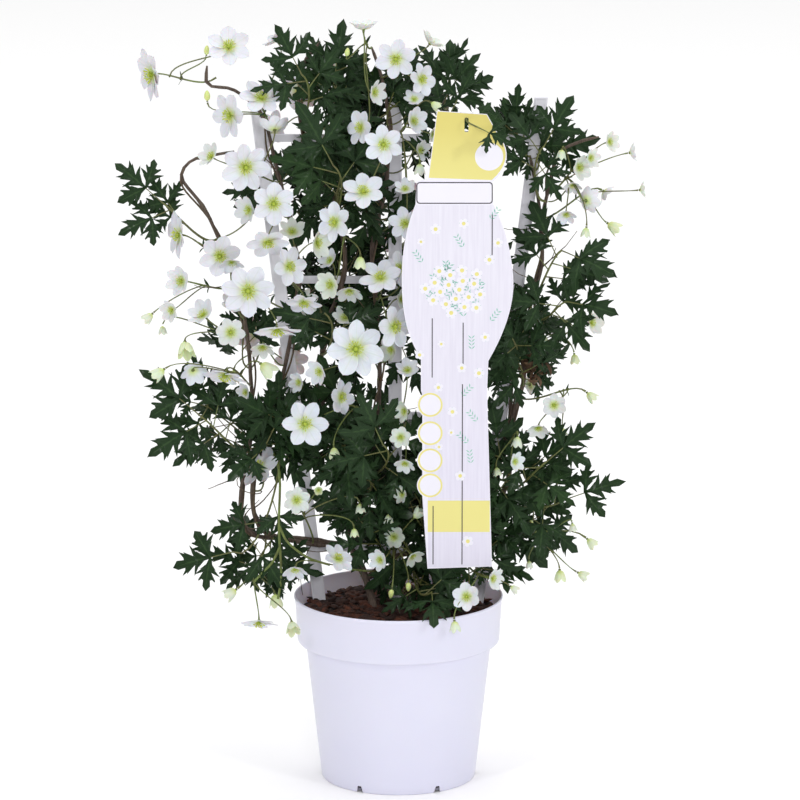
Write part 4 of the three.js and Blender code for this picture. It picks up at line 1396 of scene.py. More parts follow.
@dataclass
class Leaf:
    """A leaf of three cut leaflets on a petiole, in its own frame: it grows along X and faces up."""

    petiole_share: float = 0.36
    droop: float = 0.24
    rib_rise: float = 0.05
    skin: float = 0.4
    petiole: tuple = (0.75, 0.65, 0.55, 0.55, 0.5)
    sunk: float = 0.8
    fresh_share: float = 0.12
    fresh_tone: Spot = (0.75, 1.0)
    dark_tone: Spot = (0.0, 0.2)
    leaflets: tuple = ((-1.2, 0.52, Lobes.SIDE), (0.0, 0.64, Lobes.MIDDLE), (1.2, 0.52, Lobes.SIDE))

    def settle(self, x: float, y: float, rise: float, length: float) -> Vector:
        """A corner, let down by the leaf's droop."""
        return Vector((x, y, rise - self.droop * (x * x + y * y) / length))

    def tips(self, length: float) -> list[Vector]:
        """The three leaflets' tips."""
        hub = self.petiole_share * length
        spots = [polar(reach * length, angle) for angle, reach, _ in self.leaflets]
        return [self.settle(hub + x, y, 0, length) for x, y in spots]

    def outline(self, length: float) -> list[Vector]:
        """The hub, then each leaflet's left lobe, tip and right lobe."""
        hub = self.petiole_share * length
        corners = [self.settle(hub, 0, 0, length)]
        for angle, reach, _ in self.leaflets:
            for share, aside in ((0.5, -0.34), (1.0, 0.0), (0.5, 0.34)):
                along, across = share * reach * length, aside * reach * length
                x = hub + along * math.cos(angle) - across * math.sin(angle)
                y = along * math.sin(angle) + across * math.cos(angle)
                corners.append(self.settle(x, y, 0, length))
        return corners

    def grow(self, piece: Piece, matrix: Matrix, length: float, rng: Random, columns: int = 2) -> None:
        """Stamps the leaf.

        Args:
            piece: The piece that takes it, whose second finish is the stalk's.
            matrix: Its place and turn.
            length: From its foot to its tip.
            rng: The seeded draws.
            columns: Faces across a leaflet.
        """
        tone = rng.uniform(*(self.fresh_tone if rng.random() < self.fresh_share else self.dark_tone))
        for angle, reach, lobes in self.leaflets:
            bend = self.leaflet(angle, reach * length, length, lobes.value, rng)
            piece.stamp(blade(columns, len(lobes.value) - 1, self.skin, bend), matrix, tone)
        hub, last = self.petiole_share * length, len(self.petiole) - 1
        points = [self.settle(hub * i / last, 0, 0, length) for i in range(last + 1)]
        points[0].x -= self.sunk
        piece.stamp(tube(points, list(self.petiole), 4), matrix, rng.uniform(0.3, 0.8), 1)

    def leaflet(self, angle: float, size: float, length: float, edge: tuple, rng: Random) -> Place:
        """The bend of one leaflet, cut into lobes.

        Args:
            angle: The way it points, from the leaf's own line.
            size: Its length.
            length: The whole leaf's length.
            edge: Its rows as shares of its size.
            rng: The seeded draws.

        Returns:
            Where a corner of the grid goes.
        """
        hub = self.petiole_share * length
        rows = len(edge) - 1
        uneven = rng.uniform(0.88, 1.1)
        wave = rng.uniform(*ANY_PHASE)
        lift = rng.uniform(-0.08, 0.1)
        fold = rng.uniform(0.1, 0.4)
        plump = rng.uniform(0.01, 0.1)

        def place(across: float, share: float) -> Vector:
            rib, along, half = edge[round(share * rows)]
            half += plump * math.sin(math.pi * rib)
            aside = abs(across)
            forward = (rib + (along - rib) * aside) * size
            sideways = across * half * size * (uneven if across > 0 else 2 - uneven)
            ruffle = 0.05 * math.sin(9 * along + wave) * aside
            rise = self.rib_rise * size * math.sin(math.pi * rib) + fold * abs(sideways)
            rise += size * (ruffle + lift * rib * rib - 0.5 * half * half * aside)
            x = hub + forward * math.cos(angle) - sideways * math.sin(angle)
            y = forward * math.sin(angle) + sideways * math.cos(angle)
            return self.settle(x, y, rise, length)

        return place


def rooted(points: list[Vector]) -> list[Vector]:
    """A stem's points, carried one step back into what carries it."""
    return [points[0] * 2 - points[1], *points]


def leaf_basis(along: Vector, outward: Vector, side: int, swing: float, tilt: float) -> Matrix:
    """How a leaf is turned on its stem.

    Args:
        along: The way the stem heads.
        outward: The way that leaves face there.
        side: -1 or 1 for a leaf at the stem's side, 0 for one at its tip.
        swing: Its turn about the way it faces.
        tilt: Its roll about its own line.

    Returns:
        The turn.
    """
    across = outward.cross(along).normalized()
    direction = (along * (0.5 if side else 1.0) + across * side).normalized()
    direction.rotate(Quaternion(outward, swing))
    normal = (outward - direction * outward.dot(direction)).normalized()
    normal.rotate(Quaternion(direction, tilt))
    return Matrix((direction, normal.cross(direction), normal)).transposed().to_4x4()


@dataclass
class Shoot:
    """A leafy shoot, found in its solid."""

    vines: WoodyStems
    name: str
    tip: tuple[float, float, float]
    length: float
    count: int
    radius: float = 1.4
    runs: int = 4
    spread: float = 0.62
    shorter: float = 0.72
    less_per_leaf: float = 0.06
    back_from: float = 35
    swings: tuple = (0, 0.45, -0.45, 0.9, -0.9, 1.4, -1.4)
    tilts: tuple = (0, 0.5, -0.5)
    columns: int = 4
    shown_runs: int = 16
    shown_radius: float = 1.25

    def stem(self, solid: Solid) -> Curve:
        """Finds the stem's curve in the shoot's solid."""
        x, y, z = self.tip
        direction = Vector((math.copysign(1, x), 0, 0.7)).normalized()
        stems = []
        for sag, hop in zip(SAGS, HOPS):
            root = self.vines.root_near(Vector((0.88 * x, y, z - 45)), hop)
            for shift in DEPTH_STEPS:
                end = Vector((x, y + shift, z - shift * DEPTH_RISE))
                stems.append(stalk_to(root, end, direction, sag))
        return max(stems, key=lambda stem: self.rings_met(stem, solid))

    def rings_met(self, stem: Curve, solid: Solid) -> int:
        """How many corners of the stem's rings the solid has."""
        return sum(solid.on_ring(stem.at(i / self.runs), self.radius) for i in range(self.runs + 1))

    def leaves(self, stem: Curve, solid: Solid) -> list[tuple[Matrix, float]]:
        """Finds the leaves in the solid.

        Args:
            stem: The stem's curve.
            solid: The shoot's solid.

        Returns:
            Each leaf's place and turn, and its length.
        """
        found = []
        for i in range(self.count):
            spot, along = stem.on_rod(self.runs, 1 - i * self.spread / self.count)
            side = 0 if i == 0 else 1 if i % 2 else -1
            outward = Vector((0, 1 if spot.y > self.back_from else -1, 0.55)).normalized()
            for shrink in (1.0, self.shorter):
                size = self.length * (1 - self.less_per_leaf * i) * shrink
                tries = [Matrix.Translation(spot) @ leaf_basis(along, outward, side, swing, tilt)
                         for tilt in self.tilts for swing in self.swings]
                met = [m for m in tries if sum(solid.has(m @ tip) for tip in Leaf().tips(size)) > 1]
                if met:
                    found.append((met[0], size))
                    break
        return found

    def build(self) -> None:
        """Makes the shoot as one piece."""
        solid = Solid(self.name)
        stem = self.stem(solid)
        leaves = self.leaves(stem, solid)
        LOG.info("%s: %d of %d leaves found", self.name, len(leaves), self.count)
        rng = Random(self.name)
        piece = Piece(self.name.replace("shoot_", "leaves_"), "leaf", Finish.LEAF, Finish.STALK)
        for matrix, size in leaves:
            Leaf().grow(piece, matrix, size, rng, self.columns)
        points = rooted(stem.walk(self.shown_runs))
        radii = [self.shown_radius - 0.5 * i / len(points) for i in range(len(points))]
        piece.stamp(tube(points, radii, 6), tone=0.55, finish=1)
        piece.tuck()
        piece.finish(self.name)


class CarrierShoot(Shoot):
    """The shoot that comes forward through the card's slot and holds it up."""

    slot_x: float = 60
    slot_top: float = 621

    def stem(self, solid: Solid) -> Curve:
        """The stem's route through the slot."""
        x, z = self.slot_x, self.slot_top - GAP - self.radius
        base = self.vines.root_near(Vector((x, -10, 590)), 0).base
        return Route([tuple(base), (x, 0, z - 10), (x, -30, z - 1), (x, -50, z), (x, -62, z),
                      (x + 1, -71, z - 1), (x + 9, -76, z - 4)])


@dataclass
class Thicket:
    """A patch of foliage: its middle, how far it spreads, its side shoots, and its nearest and far Y."""

    name: str
    x: float
    z: float
    spread: float
    shoots: int
    near: float = -26
    far: float = 28


@dataclass
class Filling:
    """The many small leafy side shoots between the main ones, clear of all that is placed."""

    vines: WoodyStems
    thickets: tuple = (
        Thicket("crown", -61, 640, 26, 2), Thicket("crown_right", -10, 630, 24, 2, 6, 30),
        Thicket("upper", -58, 575, 32, 5), Thicket("card_top", 36, 630, 20, 2, -20, 20),
        Thicket("left_low", -160, 342, 26, 2), Thicket("inner_left", -103, 335, 30, 5),
        Thicket("centre", -35, 335, 38, 9), Thicket("mid_low", -12, 255, 40, 8),
        Thicket("foot", 5, 200, 34, 6), Thicket("left_foot", -118, 192, 20, 2, 0, 30),
        Thicket("right_top", 118, 580, 22, 3), Thicket("right_mid", 112, 440, 22, 4),
        Thicket("right_inner", 108, 395, 18, 3), Thicket("right_dry", 119, 372, 18, 1),
        Thicket("right_low", 100, 290, 22, 5), Thicket("right_foot", 112, 236, 16, 2),
        Thicket("under_card", 65, 204, 26, 4, -30, 20), Thicket("mid_flowers", -53, 445, 34, 4, 6, 36),
        Thicket("upper_flowers", -110, 520, 24, 2, 8, 36), Thicket("heart", -12, 510, 30, 3, 8, 36),
        Thicket("left_mid", -140, 415, 20, 1, 8, 36), Thicket("behind_card", 45, 420, 46, 7, 0, 46),
        Thicket("back_high", -40, 570, 50, 5, 34, 62), Thicket("back_mid", -20, 430, 62, 8, 34, 66),
        Thicket("back_low", 10, 280, 60, 7, 34, 64),
    )
    nearest: float = 9.0
    tries: int = 8
    first_seed: int = 700
    sizes: Spot = (36, 60)
    back_from: float = 30
    slack: float = 20
    leaf_spots: tuple = ((1.0, 0), (0.9, 1), (0.9, -1), (0.55, 1), (0.55, -1))
    carrier_runs: int = 8
    stem_runs: int = 9
    hubs: list = field(default_factory=list)

    def __post_init__(self) -> None:
        """Gathers the faces of every solid, which the leaves stay clear of."""
        corners, faces = [], []
        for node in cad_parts.values():
            first = len(corners)
            corners.extend(vert.co / MM for vert in node.data.vertices)
            faces.extend([first + i for i in face.vertices] for face in node.data.polygons)
        self.placed = BVHTree.FromPolygons(corners, faces)
        self.low, self.high = (corner / MM for corner in CAD_BOX)

    def is_clear(self, corners: list[Vector], near: float) -> bool:
        """Whether a leaf stays in the box and clear of every solid and of the other hubs.

        Args:
            corners: The leaf's outline, from its hub on.
            near: The least Y that it may reach.

        Returns:
            True where it fits in.
        """
        inside = all(self.low[k] + 1 < p[k] < self.high[k] - 1 for p in corners for k in range(3))
        if not inside or min(p.y for p in corners) < near:
            return False
        if any((corners[0] - hub).length < self.nearest for hub in self.hubs):
            return False
        faces = [(0, i, i + 1, i + 2) for i in (1, 4, 7)]
        return not BVHTree.FromPolygons(corners, faces).overlap(self.placed)

    def side_shoot(self, piece: Piece, thicket: Thicket, rng: Random) -> int:
        """Stamps one side shoot with the leaves that fit.

        Args:
            piece: The piece that takes it.
            thicket: The patch that it belongs to.
            rng: The seeded draws.

        Returns:
            How many leaves it has.
        """
        angle = rng.uniform(0, math.tau)
        x, z = polar(thicket.spread * math.sqrt(rng.random()), angle)
        end = Vector((thicket.x + x, rng.uniform(thicket.near, thicket.far), thicket.z + z))
        root = self.vines.root_near(end - UP * rng.uniform(0, 34), 0)
        heading = ((end - root.base).normalized() + UP * rng.uniform(-0.2, 0.7)).normalized()
        stem = stalk_to(root, end, heading, rng.uniform(-0.2, 0.2))
        grown = 0
        for share, side in self.leaf_spots:
            base, along = stem.on_rod(self.carrier_runs, share)
            grown += self.leaf(piece, base, along, side, thicket.near, rng)
        if grown:
            points = rooted(stem.walk(self.stem_runs))
            radii = [1.0 - 0.05 * i for i in range(len(points))]
            piece.stamp(tube(points, radii, 5), tone=rng.uniform(0.3, 0.9), finish=1)
        return grown

    def leaf(self, piece: Piece, base: Vector, along: Vector, side: int, near: float, rng: Random) -> bool:
        """Stamps one leaf in the first turn that is clear.

        Args:
            piece: The piece that takes it.
            base: Its foot.
            along: The way its stem heads.
            side: -1, 0 or 1, as for a leaf's basis.
            near: The nearest Y of its patch.
            rng: The seeded draws.

        Returns:
            True if it found a place.
        """
        size = rng.uniform(*self.sizes)
        facing_y = 1 if near > self.back_from else -1
        for _ in range(self.tries):
            outward = Vector((rng.uniform(-0.7, 0.7), facing_y, rng.uniform(-0.1, 0.9))).normalized()
            swing, tilt = rng.uniform(-1.3, 1.3), rng.uniform(-0.7, 0.7)
            matrix = Matrix.Translation(base) @ leaf_basis(along, outward, side, swing, tilt)
            corners = [matrix @ corner for corner in Leaf().outline(size)]
            if self.is_clear(corners, near - self.slack):
                self.hubs.append(corners[0])
                Leaf().grow(piece, matrix, size, rng)
                return True
            size *= 0.95
        return False

    def build(self) -> None:
        """Makes the side shoots, one piece for each thicket."""
        for number, thicket in enumerate(self.thickets):
            rng = Random(self.first_seed + number)
            piece = Piece(f"foliage_{thicket.name}", "leaf", Finish.LEAF, Finish.STALK)
            grown = sum(self.side_shoot(piece, thicket, rng) for _ in range(thicket.shoots))
            LOG.info("%s: %d side leaves", thicket.name, grown)
            piece.finish()


# Flat plates


class Outline:
    """A closed flat outline in x and z, drawn a stretch at a time."""

    def __init__(self, x: float, z: float) -> None:
        """Starts at a point."""
        self.points = [(x, z)]

    def line(self, *points: Spot) -> "Outline":
        """Runs straight to each point in turn."""
        self.points.extend(points)
        return self

    def curve(self, control: Spot, end: Spot, steps: int = 10) -> "Outline":
        """Runs to a point along a quadratic curve.

        Args:
            control: The curve's control point.
            end: Where it ends.
            steps: Its chords.

        Returns:
            The outline.
        """
        start = self.points[-1]
        for i in range(1, steps + 1):
            t = i / steps
            shares = ((1 - t) ** 2, 2 * t * (1 - t), t * t)
            pulls = list(zip(shares, (start, control, end)))
            self.points.append(tuple(sum(share * spot[k] for share, spot in pulls) for k in (0, 1)))
        return self

    def arc(self, centre: Spot, radius: float, start: float, end: float,
            steps: int = 12) -> "Outline":
        """Runs along an arc.

        Args:
            centre: Its centre.
            radius: Its radius.
            start: The angle where it starts, in half turns.
            end: The angle where it ends, in half turns.
            steps: Its chords.

        Returns:
            The outline.
        """
        for i in range(steps + 1):
            x, z = polar(radius, math.pi * (start + (end - start) * i / steps))
            self.points.append((centre[0] + x, centre[1] + z))
        return self

    @classmethod
    def box(cls, left: float, right: float, low: float, high: float, corner: float = 0.0) -> "Outline":
        """A rectangle, with round corners where a radius is given."""
        if not corner:
            return cls(left, low).line((right, low), (right, high), (left, high))
        made = cls(left + corner, low)
        spots = ((right - corner, low + corner, 1.5), (right - corner, high - corner, 0.0),
                 (left + corner, high - corner, 0.5), (left + corner, low + corner, 1.0))
        for x, z, start in spots:
            made.arc((x, z), corner, start, start + 0.5, 5)
        return made

    @classmethod
    def disc(cls, x: float, z: float, radius: float, steps: int = 20) -> "Outline":
        """A circle."""
        return cls(x + radius, z).arc((x, z), radius, 0.0, 2.0, steps)


def plate(outlines: list[Outline], front: float, thickness: float) -> Shape:
    """A flat plate that stands across Y.

    Args:
        outlines: Its outline, then the outlines of its holes.
        front: The Y of its front face.
        thickness: How far back it reaches.

    Returns:
        The closed plate.
    """
    bm = new_shape()
    for outline in outlines:
        corners = [bm.verts.new((x, front, z)) for x, z in outline.points]
        for here, there in zip(corners, corners[1:] + corners[:1]):
            bm.edges.new((here, there))
    welded(bm, 0.001)
    bmesh.ops.triangle_fill(bm, use_beauty=True, use_dissolve=False, edges=bm.edges[:], normal=FRONT)
    back = bmesh.ops.extrude_face_region(bm, geom=bm.faces[:], use_keep_orig=True)["geom"]
    moved = [part for part in back if isinstance(part, bmesh.types.BMVert)]
    bmesh.ops.translate(bm, vec=(0, thickness, 0), verts=moved)
    bmesh.ops.recalc_face_normals(bm, faces=bm.faces[:])
    return bm


def soften(bm: Shape, width: float, sharp_from: float = 0.6) -> None:
    """Rounds the sharp edges of a shape.

    Args:
        bm: The shape.
        width: How far the rounding reaches.
        sharp_from: The angle between two faces from which an edge is sharp, in radians.
    """
    bm.normal_update()
    sharp = [e for e in bm.edges if len(e.link_faces) == 2 and e.calc_face_angle() > sharp_from]
    bmesh.ops.bevel(bm, geom=sharp, offset=width, affect="EDGES", segments=2, profile=0.5,
                    material=-1, clamp_overlap=True)


# What the plant stands in and climbs on


@dataclass
class Pot:
    """The moulded nursery pot, turned from its profile, with drain holes in its floor."""

    profile: tuple = (
        (0, 0), (69.0, 0), (69.8, 0.3), (70.1, 1), (70.86, 7), (71.2, 10), (84.2, 125), (84.8, 127),
        (86.2, 127.9), (90.5, 128), (91.6, 128.4), (92, 129.5), (94.1, 166.4), (94.6, 167.1),
        (95, 167.9), (95, 169.2), (94.6, 169.8), (94, 170), (93.5, 169.8), (93.1, 169.2), (90, 130.5),
        (82.4, 127), (68.8, 10), (68.5, 7), (68, 3), (0, 3))
    steps: int = 96
    drain_holes: int = 6
    drain_radius: float = 5
    drain_circle: float = 66
    drain_depth: float = 12

    def build(self) -> None:
        """Makes the pot."""
        turned = bmesh.new()
        corners = [turned.verts.new((r, 0, z)) for r, z in self.profile]
        edges = [turned.edges.new(pair) for pair in zip(corners, corners[1:])]
        bmesh.ops.spin(turned, geom=corners + edges, axis=UP, cent=(0, 0, 0), angle=math.tau,
                       steps=self.steps, use_merge=True)
        closed(turned, 0.001)
        cutters = bmesh.new()
        for i in range(self.drain_holes):
            spot = (*polar(self.drain_circle, math.tau * i / self.drain_holes), 0)
            bmesh.ops.create_cone(cutters, cap_ends=True, segments=20, radius1=self.drain_radius,
                                  radius2=self.drain_radius, depth=self.drain_depth,
                                  matrix=Matrix.Translation(spot))
        piece = Piece("pot_body", "white_plastic", Finish.POT)
        piece.take(self.cut(turned, cutters))
        piece.finish("pot")

    def cut(self, body: Shape, cutters: Shape) -> bpy.types.Mesh:
        """Cuts one shape out of another.

        Args:
            body: What is cut.
            cutters: What is taken away.

        Returns:
            What is left.
        """
        whole, tools = (to_object("helper", to_mesh("helper", bm)) for bm in (body, cutters))
        modifier = whole.modifiers.new("holes", "BOOLEAN")
        modifier.operation = "DIFFERENCE"
        modifier.object = tools
        evaluated = whole.evaluated_get(bpy.context.evaluated_depsgraph_get())
        left = bpy.data.meshes.new_from_object(evaluated)
        for helper in (whole, tools):
            bpy.data.objects.remove(helper)
        return left


@dataclass
class Soil:
    """The bark mulch: chips laid on the solid soil, which shows its own top between them."""

    top: float = 154
    relief: float = 2.2
    radius: float = 90.5
    seed: int = 9
    chips: int = 620
    golden: float = 2.39996
    sizes: Spot = (3.2, 8.5)
    ragged: float = 0.42
    sunk: float = 0.7

    def height(self, x: float, y: float) -> float:
        """The height of the soil's top at a point."""
        coarse = math.sin(x * 0.31 + 1.3) * math.cos(y * 0.27 - 0.4)
        fine = math.sin(x * 0.83 - y * 0.61) * math.cos(y * 0.94 + x * 0.22)
        return self.top + self.relief * (coarse + 0.7 * fine)

    def build(self) -> None:
        """Lays the chips, and gives the solid soil its finish."""
        rng = Random(self.seed)
        piece = Piece("bark_chips", "bark_soil", Finish.BARK)
        for i in range(self.chips):
            size = rng.uniform(*self.sizes)
            reach = (self.radius - size) * math.sqrt((i + 0.5) / self.chips)
            x, y = polar(reach, i * self.golden)
            shape = solid_of(bmesh.ops.create_icosphere, subdivisions=2, radius=1.0)
            seed = Vector((rng.uniform(0, 50), 0, 0))
            for vert in shape.verts:
                vert.co *= 1 + self.ragged * noise.noise(vert.co * 1.7 + seed)
            turn = Matrix.Rotation(rng.uniform(-0.45, 0.45), 4, "X")
            turn = turn @ Matrix.Rotation(rng.uniform(-0.4, 0.4), 4, "Y")
            flat = Matrix.Diagonal((size, size * rng.uniform(0.4, 0.7), size * rng.uniform(0.2, 0.36), 1))
            spot = Vector((x, y, self.height(x, y) + self.sunk + rng.uniform(0, 2.2)))
            spin = Matrix.Rotation(rng.uniform(0, math.pi), 4, "Z")
            piece.stamp(shape, Matrix.Translation(spot) @ spin @ turn @ flat, rng.random())
        piece.finish(smooth=False)
        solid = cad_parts["soil"]
        solid.data.materials.clear()
        solid.data.materials.append(Finish.SOIL.material())


@dataclass
class Trellis:
    """The moulded fan trellis: three uprights with a raised border, on four cross bars."""

    front: float = 22.5
    width: float = 12
    thickness: float = 3
    top: float = 624
    top_x: float = 128
    soil_x: float = 74
    soil_z: float = 172
    spike_z: float = 165
    tip_z: float = 70
    tip_width: float = 5
    middle_x: float = -3
    bars: tuple = (207, 331, 457, 587)
    bar_height: float = 7
    bar_inset: float = 0.5
    border: float = 1.7
    panel_depth: float = 0.35
    panel_slope: float = 0.3
    edge: float = 0.45

    def upright(self, top_x: float, soil_x: float) -> Outline:
        """An upright's outline, from its spike to its top."""
        slope = (top_x - soil_x) / (self.top - self.soil_z)
        half, tip = self.width / 2, self.tip_width / 2
        heights = (self.top, self.spike_z, self.tip_z)
        high, low, foot = (soil_x + slope * (z - self.soil_z) for z in heights)
        return Outline(high + half, self.top).line(
            (high - half, self.top), (low - half, self.spike_z), (foot - tip, self.tip_z),
            (foot + tip, self.tip_z), (low + half, self.spike_z))

    def reach(self, z: float) -> float:
        """How far out the outer uprights stand at a height."""
        return self.soil_x + (self.top_x - self.soil_x) * (z - self.soil_z) / (self.top - self.soil_z)

    def build(self) -> None:
        """Makes the trellis."""
        piece = Piece("trellis_slats", "trellis_plastic", Finish.TRELLIS)
        ends = ((-self.top_x, -self.soil_x), (self.middle_x, self.middle_x), (self.top_x, self.soil_x))
        for top_x, soil_x in ends:
            slat = plate([self.upright(top_x, soil_x)], self.front, self.thickness)
            for side in (-1, 1):
                faces = [face for face in slat.faces if face.normal.y * side > 0.9]
                for inset, depth in ((self.border, 0), (self.panel_slope, -self.panel_depth)):
                    bmesh.ops.inset_region(slat, faces=faces, thickness=inset, depth=depth,
                                           use_boundary=True, use_even_offset=True)
            soften(slat, self.edge)
            piece.stamp(slat)
        for z in self.bars:
            reach, half = self.reach(z), self.bar_height / 2
            outline = Outline.box(-reach, reach, z - half, z + half)
            bar = plate([outline], self.front + self.bar_inset, self.thickness - 2 * self.bar_inset)
            soften(bar, self.edge)
            piece.stamp(bar)
        piece.finish("trellis", smooth=False)


class Ink(Enum):
    """The card's finishes, by their place in its piece."""

    WHITE = 0
    YELLOW = 1
    BOARD = 2
    DARK = 3
    SPRIG = 4


@dataclass
class CardTag:
    """The die-cut card, with flat prints laid on its front: bare panels and a motif of small flowers."""

    front: float = -62
    thickness: float = 0.8
    slot: tuple = (58.2, 61.8, 608, 621)
    slot_corner: float = 1.5
    scallops: tuple = (361, 335, 310, 287)
    scallop_radius: float = 11.5
    ring: Spot = (11, 9.4)
    white_disc: float = 9.3
    print_depth: float = 0.3
    layer: float = 0.035
    joint: float = 0.45
    joints: tuple = ((31, 214, 268), (57, 214, 380), (57.5, 394, 436), (30, 386, 440), (83, 492, 534))

    def outline(self) -> Outline:
        """The die-cut outline."""
        card = Outline(34, 627).line((26, 566), (16, 564), (15, 543))
        card.curve((2, 510), (3, 471)).curve((3, 430), (20, 403)).line((20, 374))
        for z in self.scallops:
            card.arc((28, z), self.scallop_radius, 0.7, 1.3)
        card.line((26, 210), (84, 212), (79, 373), (80, 401))
        card.curve((102, 440), (102, 471)).curve((101, 510), (84, 543)).line((83, 563))
        return card.curve((106, 584), (87, 608)).line((78, 624))

    def slot_outline(self) -> Outline:
        """The slot that hangs it, with round ends."""
        return Outline.box(*self.slot, corner=self.slot_corner)

    def lay(self, piece: Piece, ink: Ink, level: int, *outlines: Outline) -> None:
        """Lays a print on the front.

        Args:
            piece: The piece that takes it.
            ink: The finish that it wears.
            level: Its layer, from 1 up; a higher one covers a lower one.
            *outlines: Its outline, then its holes.
        """
        flat = plate(list(outlines), self.front - level * self.layer, self.print_depth)
        piece.stamp(flat, finish=ink.value)

    def build(self) -> None:
        """Makes the card and its prints."""
        piece = Piece("card", "printed_card", Finish.CARD, Finish.YELLOW, Finish.BOARD, Finish.INK,
                      Finish.SPRIG)
        piece.stamp(plate([self.outline(), self.slot_outline()], self.front, self.thickness))
        header = Outline(34.4, 626.5).line((26.8, 567), (82.4, 565)).curve((104.6, 584.5), (86.4, 607.4))
        self.lay(piece, Ink.YELLOW, 1, header.line((77.6, 623.5)), self.slot_outline())
        self.lay(piece, Ink.WHITE, 2, Outline.disc(80, 586, 12.5, 32))
        self.lay(piece, Ink.DARK, 2, Outline.box(15.8, 83.4, 543.6, 563.2, 3))
        self.lay(piece, Ink.WHITE, 3, Outline.box(16.8, 82.4, 544.6, 562.2, 2.2))
        self.boards(piece)
        for z in self.scallops:
            self.lay(piece, Ink.YELLOW, 2, *(Outline.disc(28.4, z, radius, 28) for radius in self.ring))
            self.lay(piece, Ink.WHITE, 3, Outline.disc(28.4, z, self.white_disc, 28))
        self.lay(piece, Ink.YELLOW, 2, Outline.box(26.2, 81.8, 244, 273))
        Motif(self, piece, Random(23)).strew()
        piece.finish("card_tag")

    def boards(self, piece: Piece) -> None:
        """Lays the painted boards and the dark joints between them."""
        waist = Outline(15.6, 542.4).curve((2.8, 510), (3.8, 471)).curve((3.8, 430), (20.8, 403.4))
        waist.line((20.8, 375), (26.6, 272), (26.6, 211), (83.2, 212.8), (78.4, 373), (79.4, 401.2))
        waist.curve((101.2, 440), (101.2, 471)).curve((100.2, 510), (83.6, 542.4))
        self.lay(piece, Ink.BOARD, 1, waist)
        for x, low, high in self.joints:
            self.lay(piece, Ink.DARK, 3, Outline.box(x - self.joint, x + self.joint, low, high))


@dataclass
class Motif:
    """Small flowers and sprigs, strewn over the card's boards by a seeded rule."""

    card: CardTag
    piece: Piece
    rng: Random
    centre: Spot = (50, 462)
    posy: int = 19
    posy_size: float = 5.6
    posy_turn: float = 2.4
    posy_sprigs: int = 26
    strewn: int = 26
    sizes: Spot = (3.2, 5.4)
    apart: float = 15
    clear_of_posy: float = 38
    waist_z: float = 400
    below_waist: Spot = (34, 72)
    above_waist: Spot = (13, 92)
    panel: Spot = (238, 280)

    def strew(self) -> None:
        """Lays a round posy, then the flowers and sprigs around it."""
        middle_x, middle_z = self.centre
        for _ in range(self.posy_sprigs):
            angle, reach = self.rng.uniform(0, math.tau), math.sqrt(self.rng.random())
            x, z = 24 * reach * math.cos(angle), 22 * reach * math.sin(angle)
            self.sprig(middle_x + x, middle_z + z)
        for k in range(self.posy):
            reach, angle = 6.3 * math.sqrt(k + 0.4), self.posy_turn * k
            x, z = reach * math.cos(angle), 0.86 * reach * math.sin(angle)
            self.flower(middle_x + x, middle_z + 4 + z, self.posy_size)
        for i, (x, z) in enumerate(self.spots()):
            if i % 3:
                self.flower(x, z, self.rng.uniform(*self.sizes))
            else:
                self.sprig(x, z)

    def spots(self) -> list[Spot]:
        """Spots on the boards, clear of one another, of the posy and of the panel."""
        spots = [self.centre]
        low, high = self.panel
        while len(spots) < self.strewn:
            x, z = self.rng.uniform(14, 90), self.rng.uniform(222, 536)
            left, right = self.below_waist if z < self.waist_z else self.above_waist
            near = any(math.hypot(x - a, z - b) < (self.apart if k else self.clear_of_posy)
                       for k, (a, b) in enumerate(spots))
            if left < x < right and not near and not low < z < high:
                spots.append((x, z))
        return spots[1:]

    def flower(self, x: float, z: float, size: float) -> None:
        """Lays one small flower: five white petals round a yellow eye, over a pale shade."""
        turn = self.rng.random()
        self.card.lay(self.piece, Ink.SPRIG, 3, Outline.disc(x, z, size * 0.8, 10))
        for k in range(5):
            aside, up = polar(0.55 * size, math.pi * (turn + 0.4 * k))
            self.card.lay(self.piece, Ink.WHITE, 4 + k, Outline.disc(x + aside, z + up, 0.42 * size, 10))
        self.card.lay(self.piece, Ink.YELLOW, 9, Outline.disc(x, z, 0.34 * size, 12))

    def sprig(self, x: float, z: float) -> None:
        """Lays one sprig: pairs of thin leaves along a line."""
        heading = self.rng.uniform(0.2, 0.8)
        for k in range(4):
            for side in (-0.25, 0.25):
                angle = math.pi * (heading + side)
                aside, up = polar(3.2 * k, math.pi * heading)
                foot = (x + aside, z + up)
                reach_x, reach_z = polar(4.2, angle)
                tip = (foot[0] + reach_x, foot[1] + reach_z)
                wide = (0.5 * math.sin(angle), -0.5 * math.cos(angle))
                middle = ((foot[0] + tip[0]) / 2, (foot[1] + tip[1]) / 2)
                leaf = Outline(*foot).line((middle[0] + wide[0], middle[1] + wide[1]), tip,
                                           (middle[0] - wide[0], middle[1] - wide[1]))
                self.card.lay(self.piece, Ink.SPRIG, 3, leaf)


# The studio


class Lamp(Enum):
    """The soft square lamps: place and aim in metres, size, and watts."""

    CEILING = ((0, 2.2, 4.2), (0, 2.2, 0), 9.0, 335)
    FRONT = ((0.3, -3.6, 1.5), (0, 0, 0.35), 0.6, 24)
    KEY = ((-1.6, -2.2, 2.1), (0, 0, 0.35), 0.35, 14)
    FILL = ((2.0, -2.0, 1.6), (0, 0, 0.35), 0.35, 16)

    def hang(self) -> None:
        """Hangs the lamp."""
        place, aim, size, watts = self.value
        light = bpy.data.lights.new(self.name.lower(), "AREA")
        light.size = size
        light.energy = watts
        lamp = to_object(self.name.lower(), light)
        lamp.location = place
        lamp.rotation_euler = (Vector(aim) - Vector(place)).to_track_quat("-Z", "Y").to_euler()


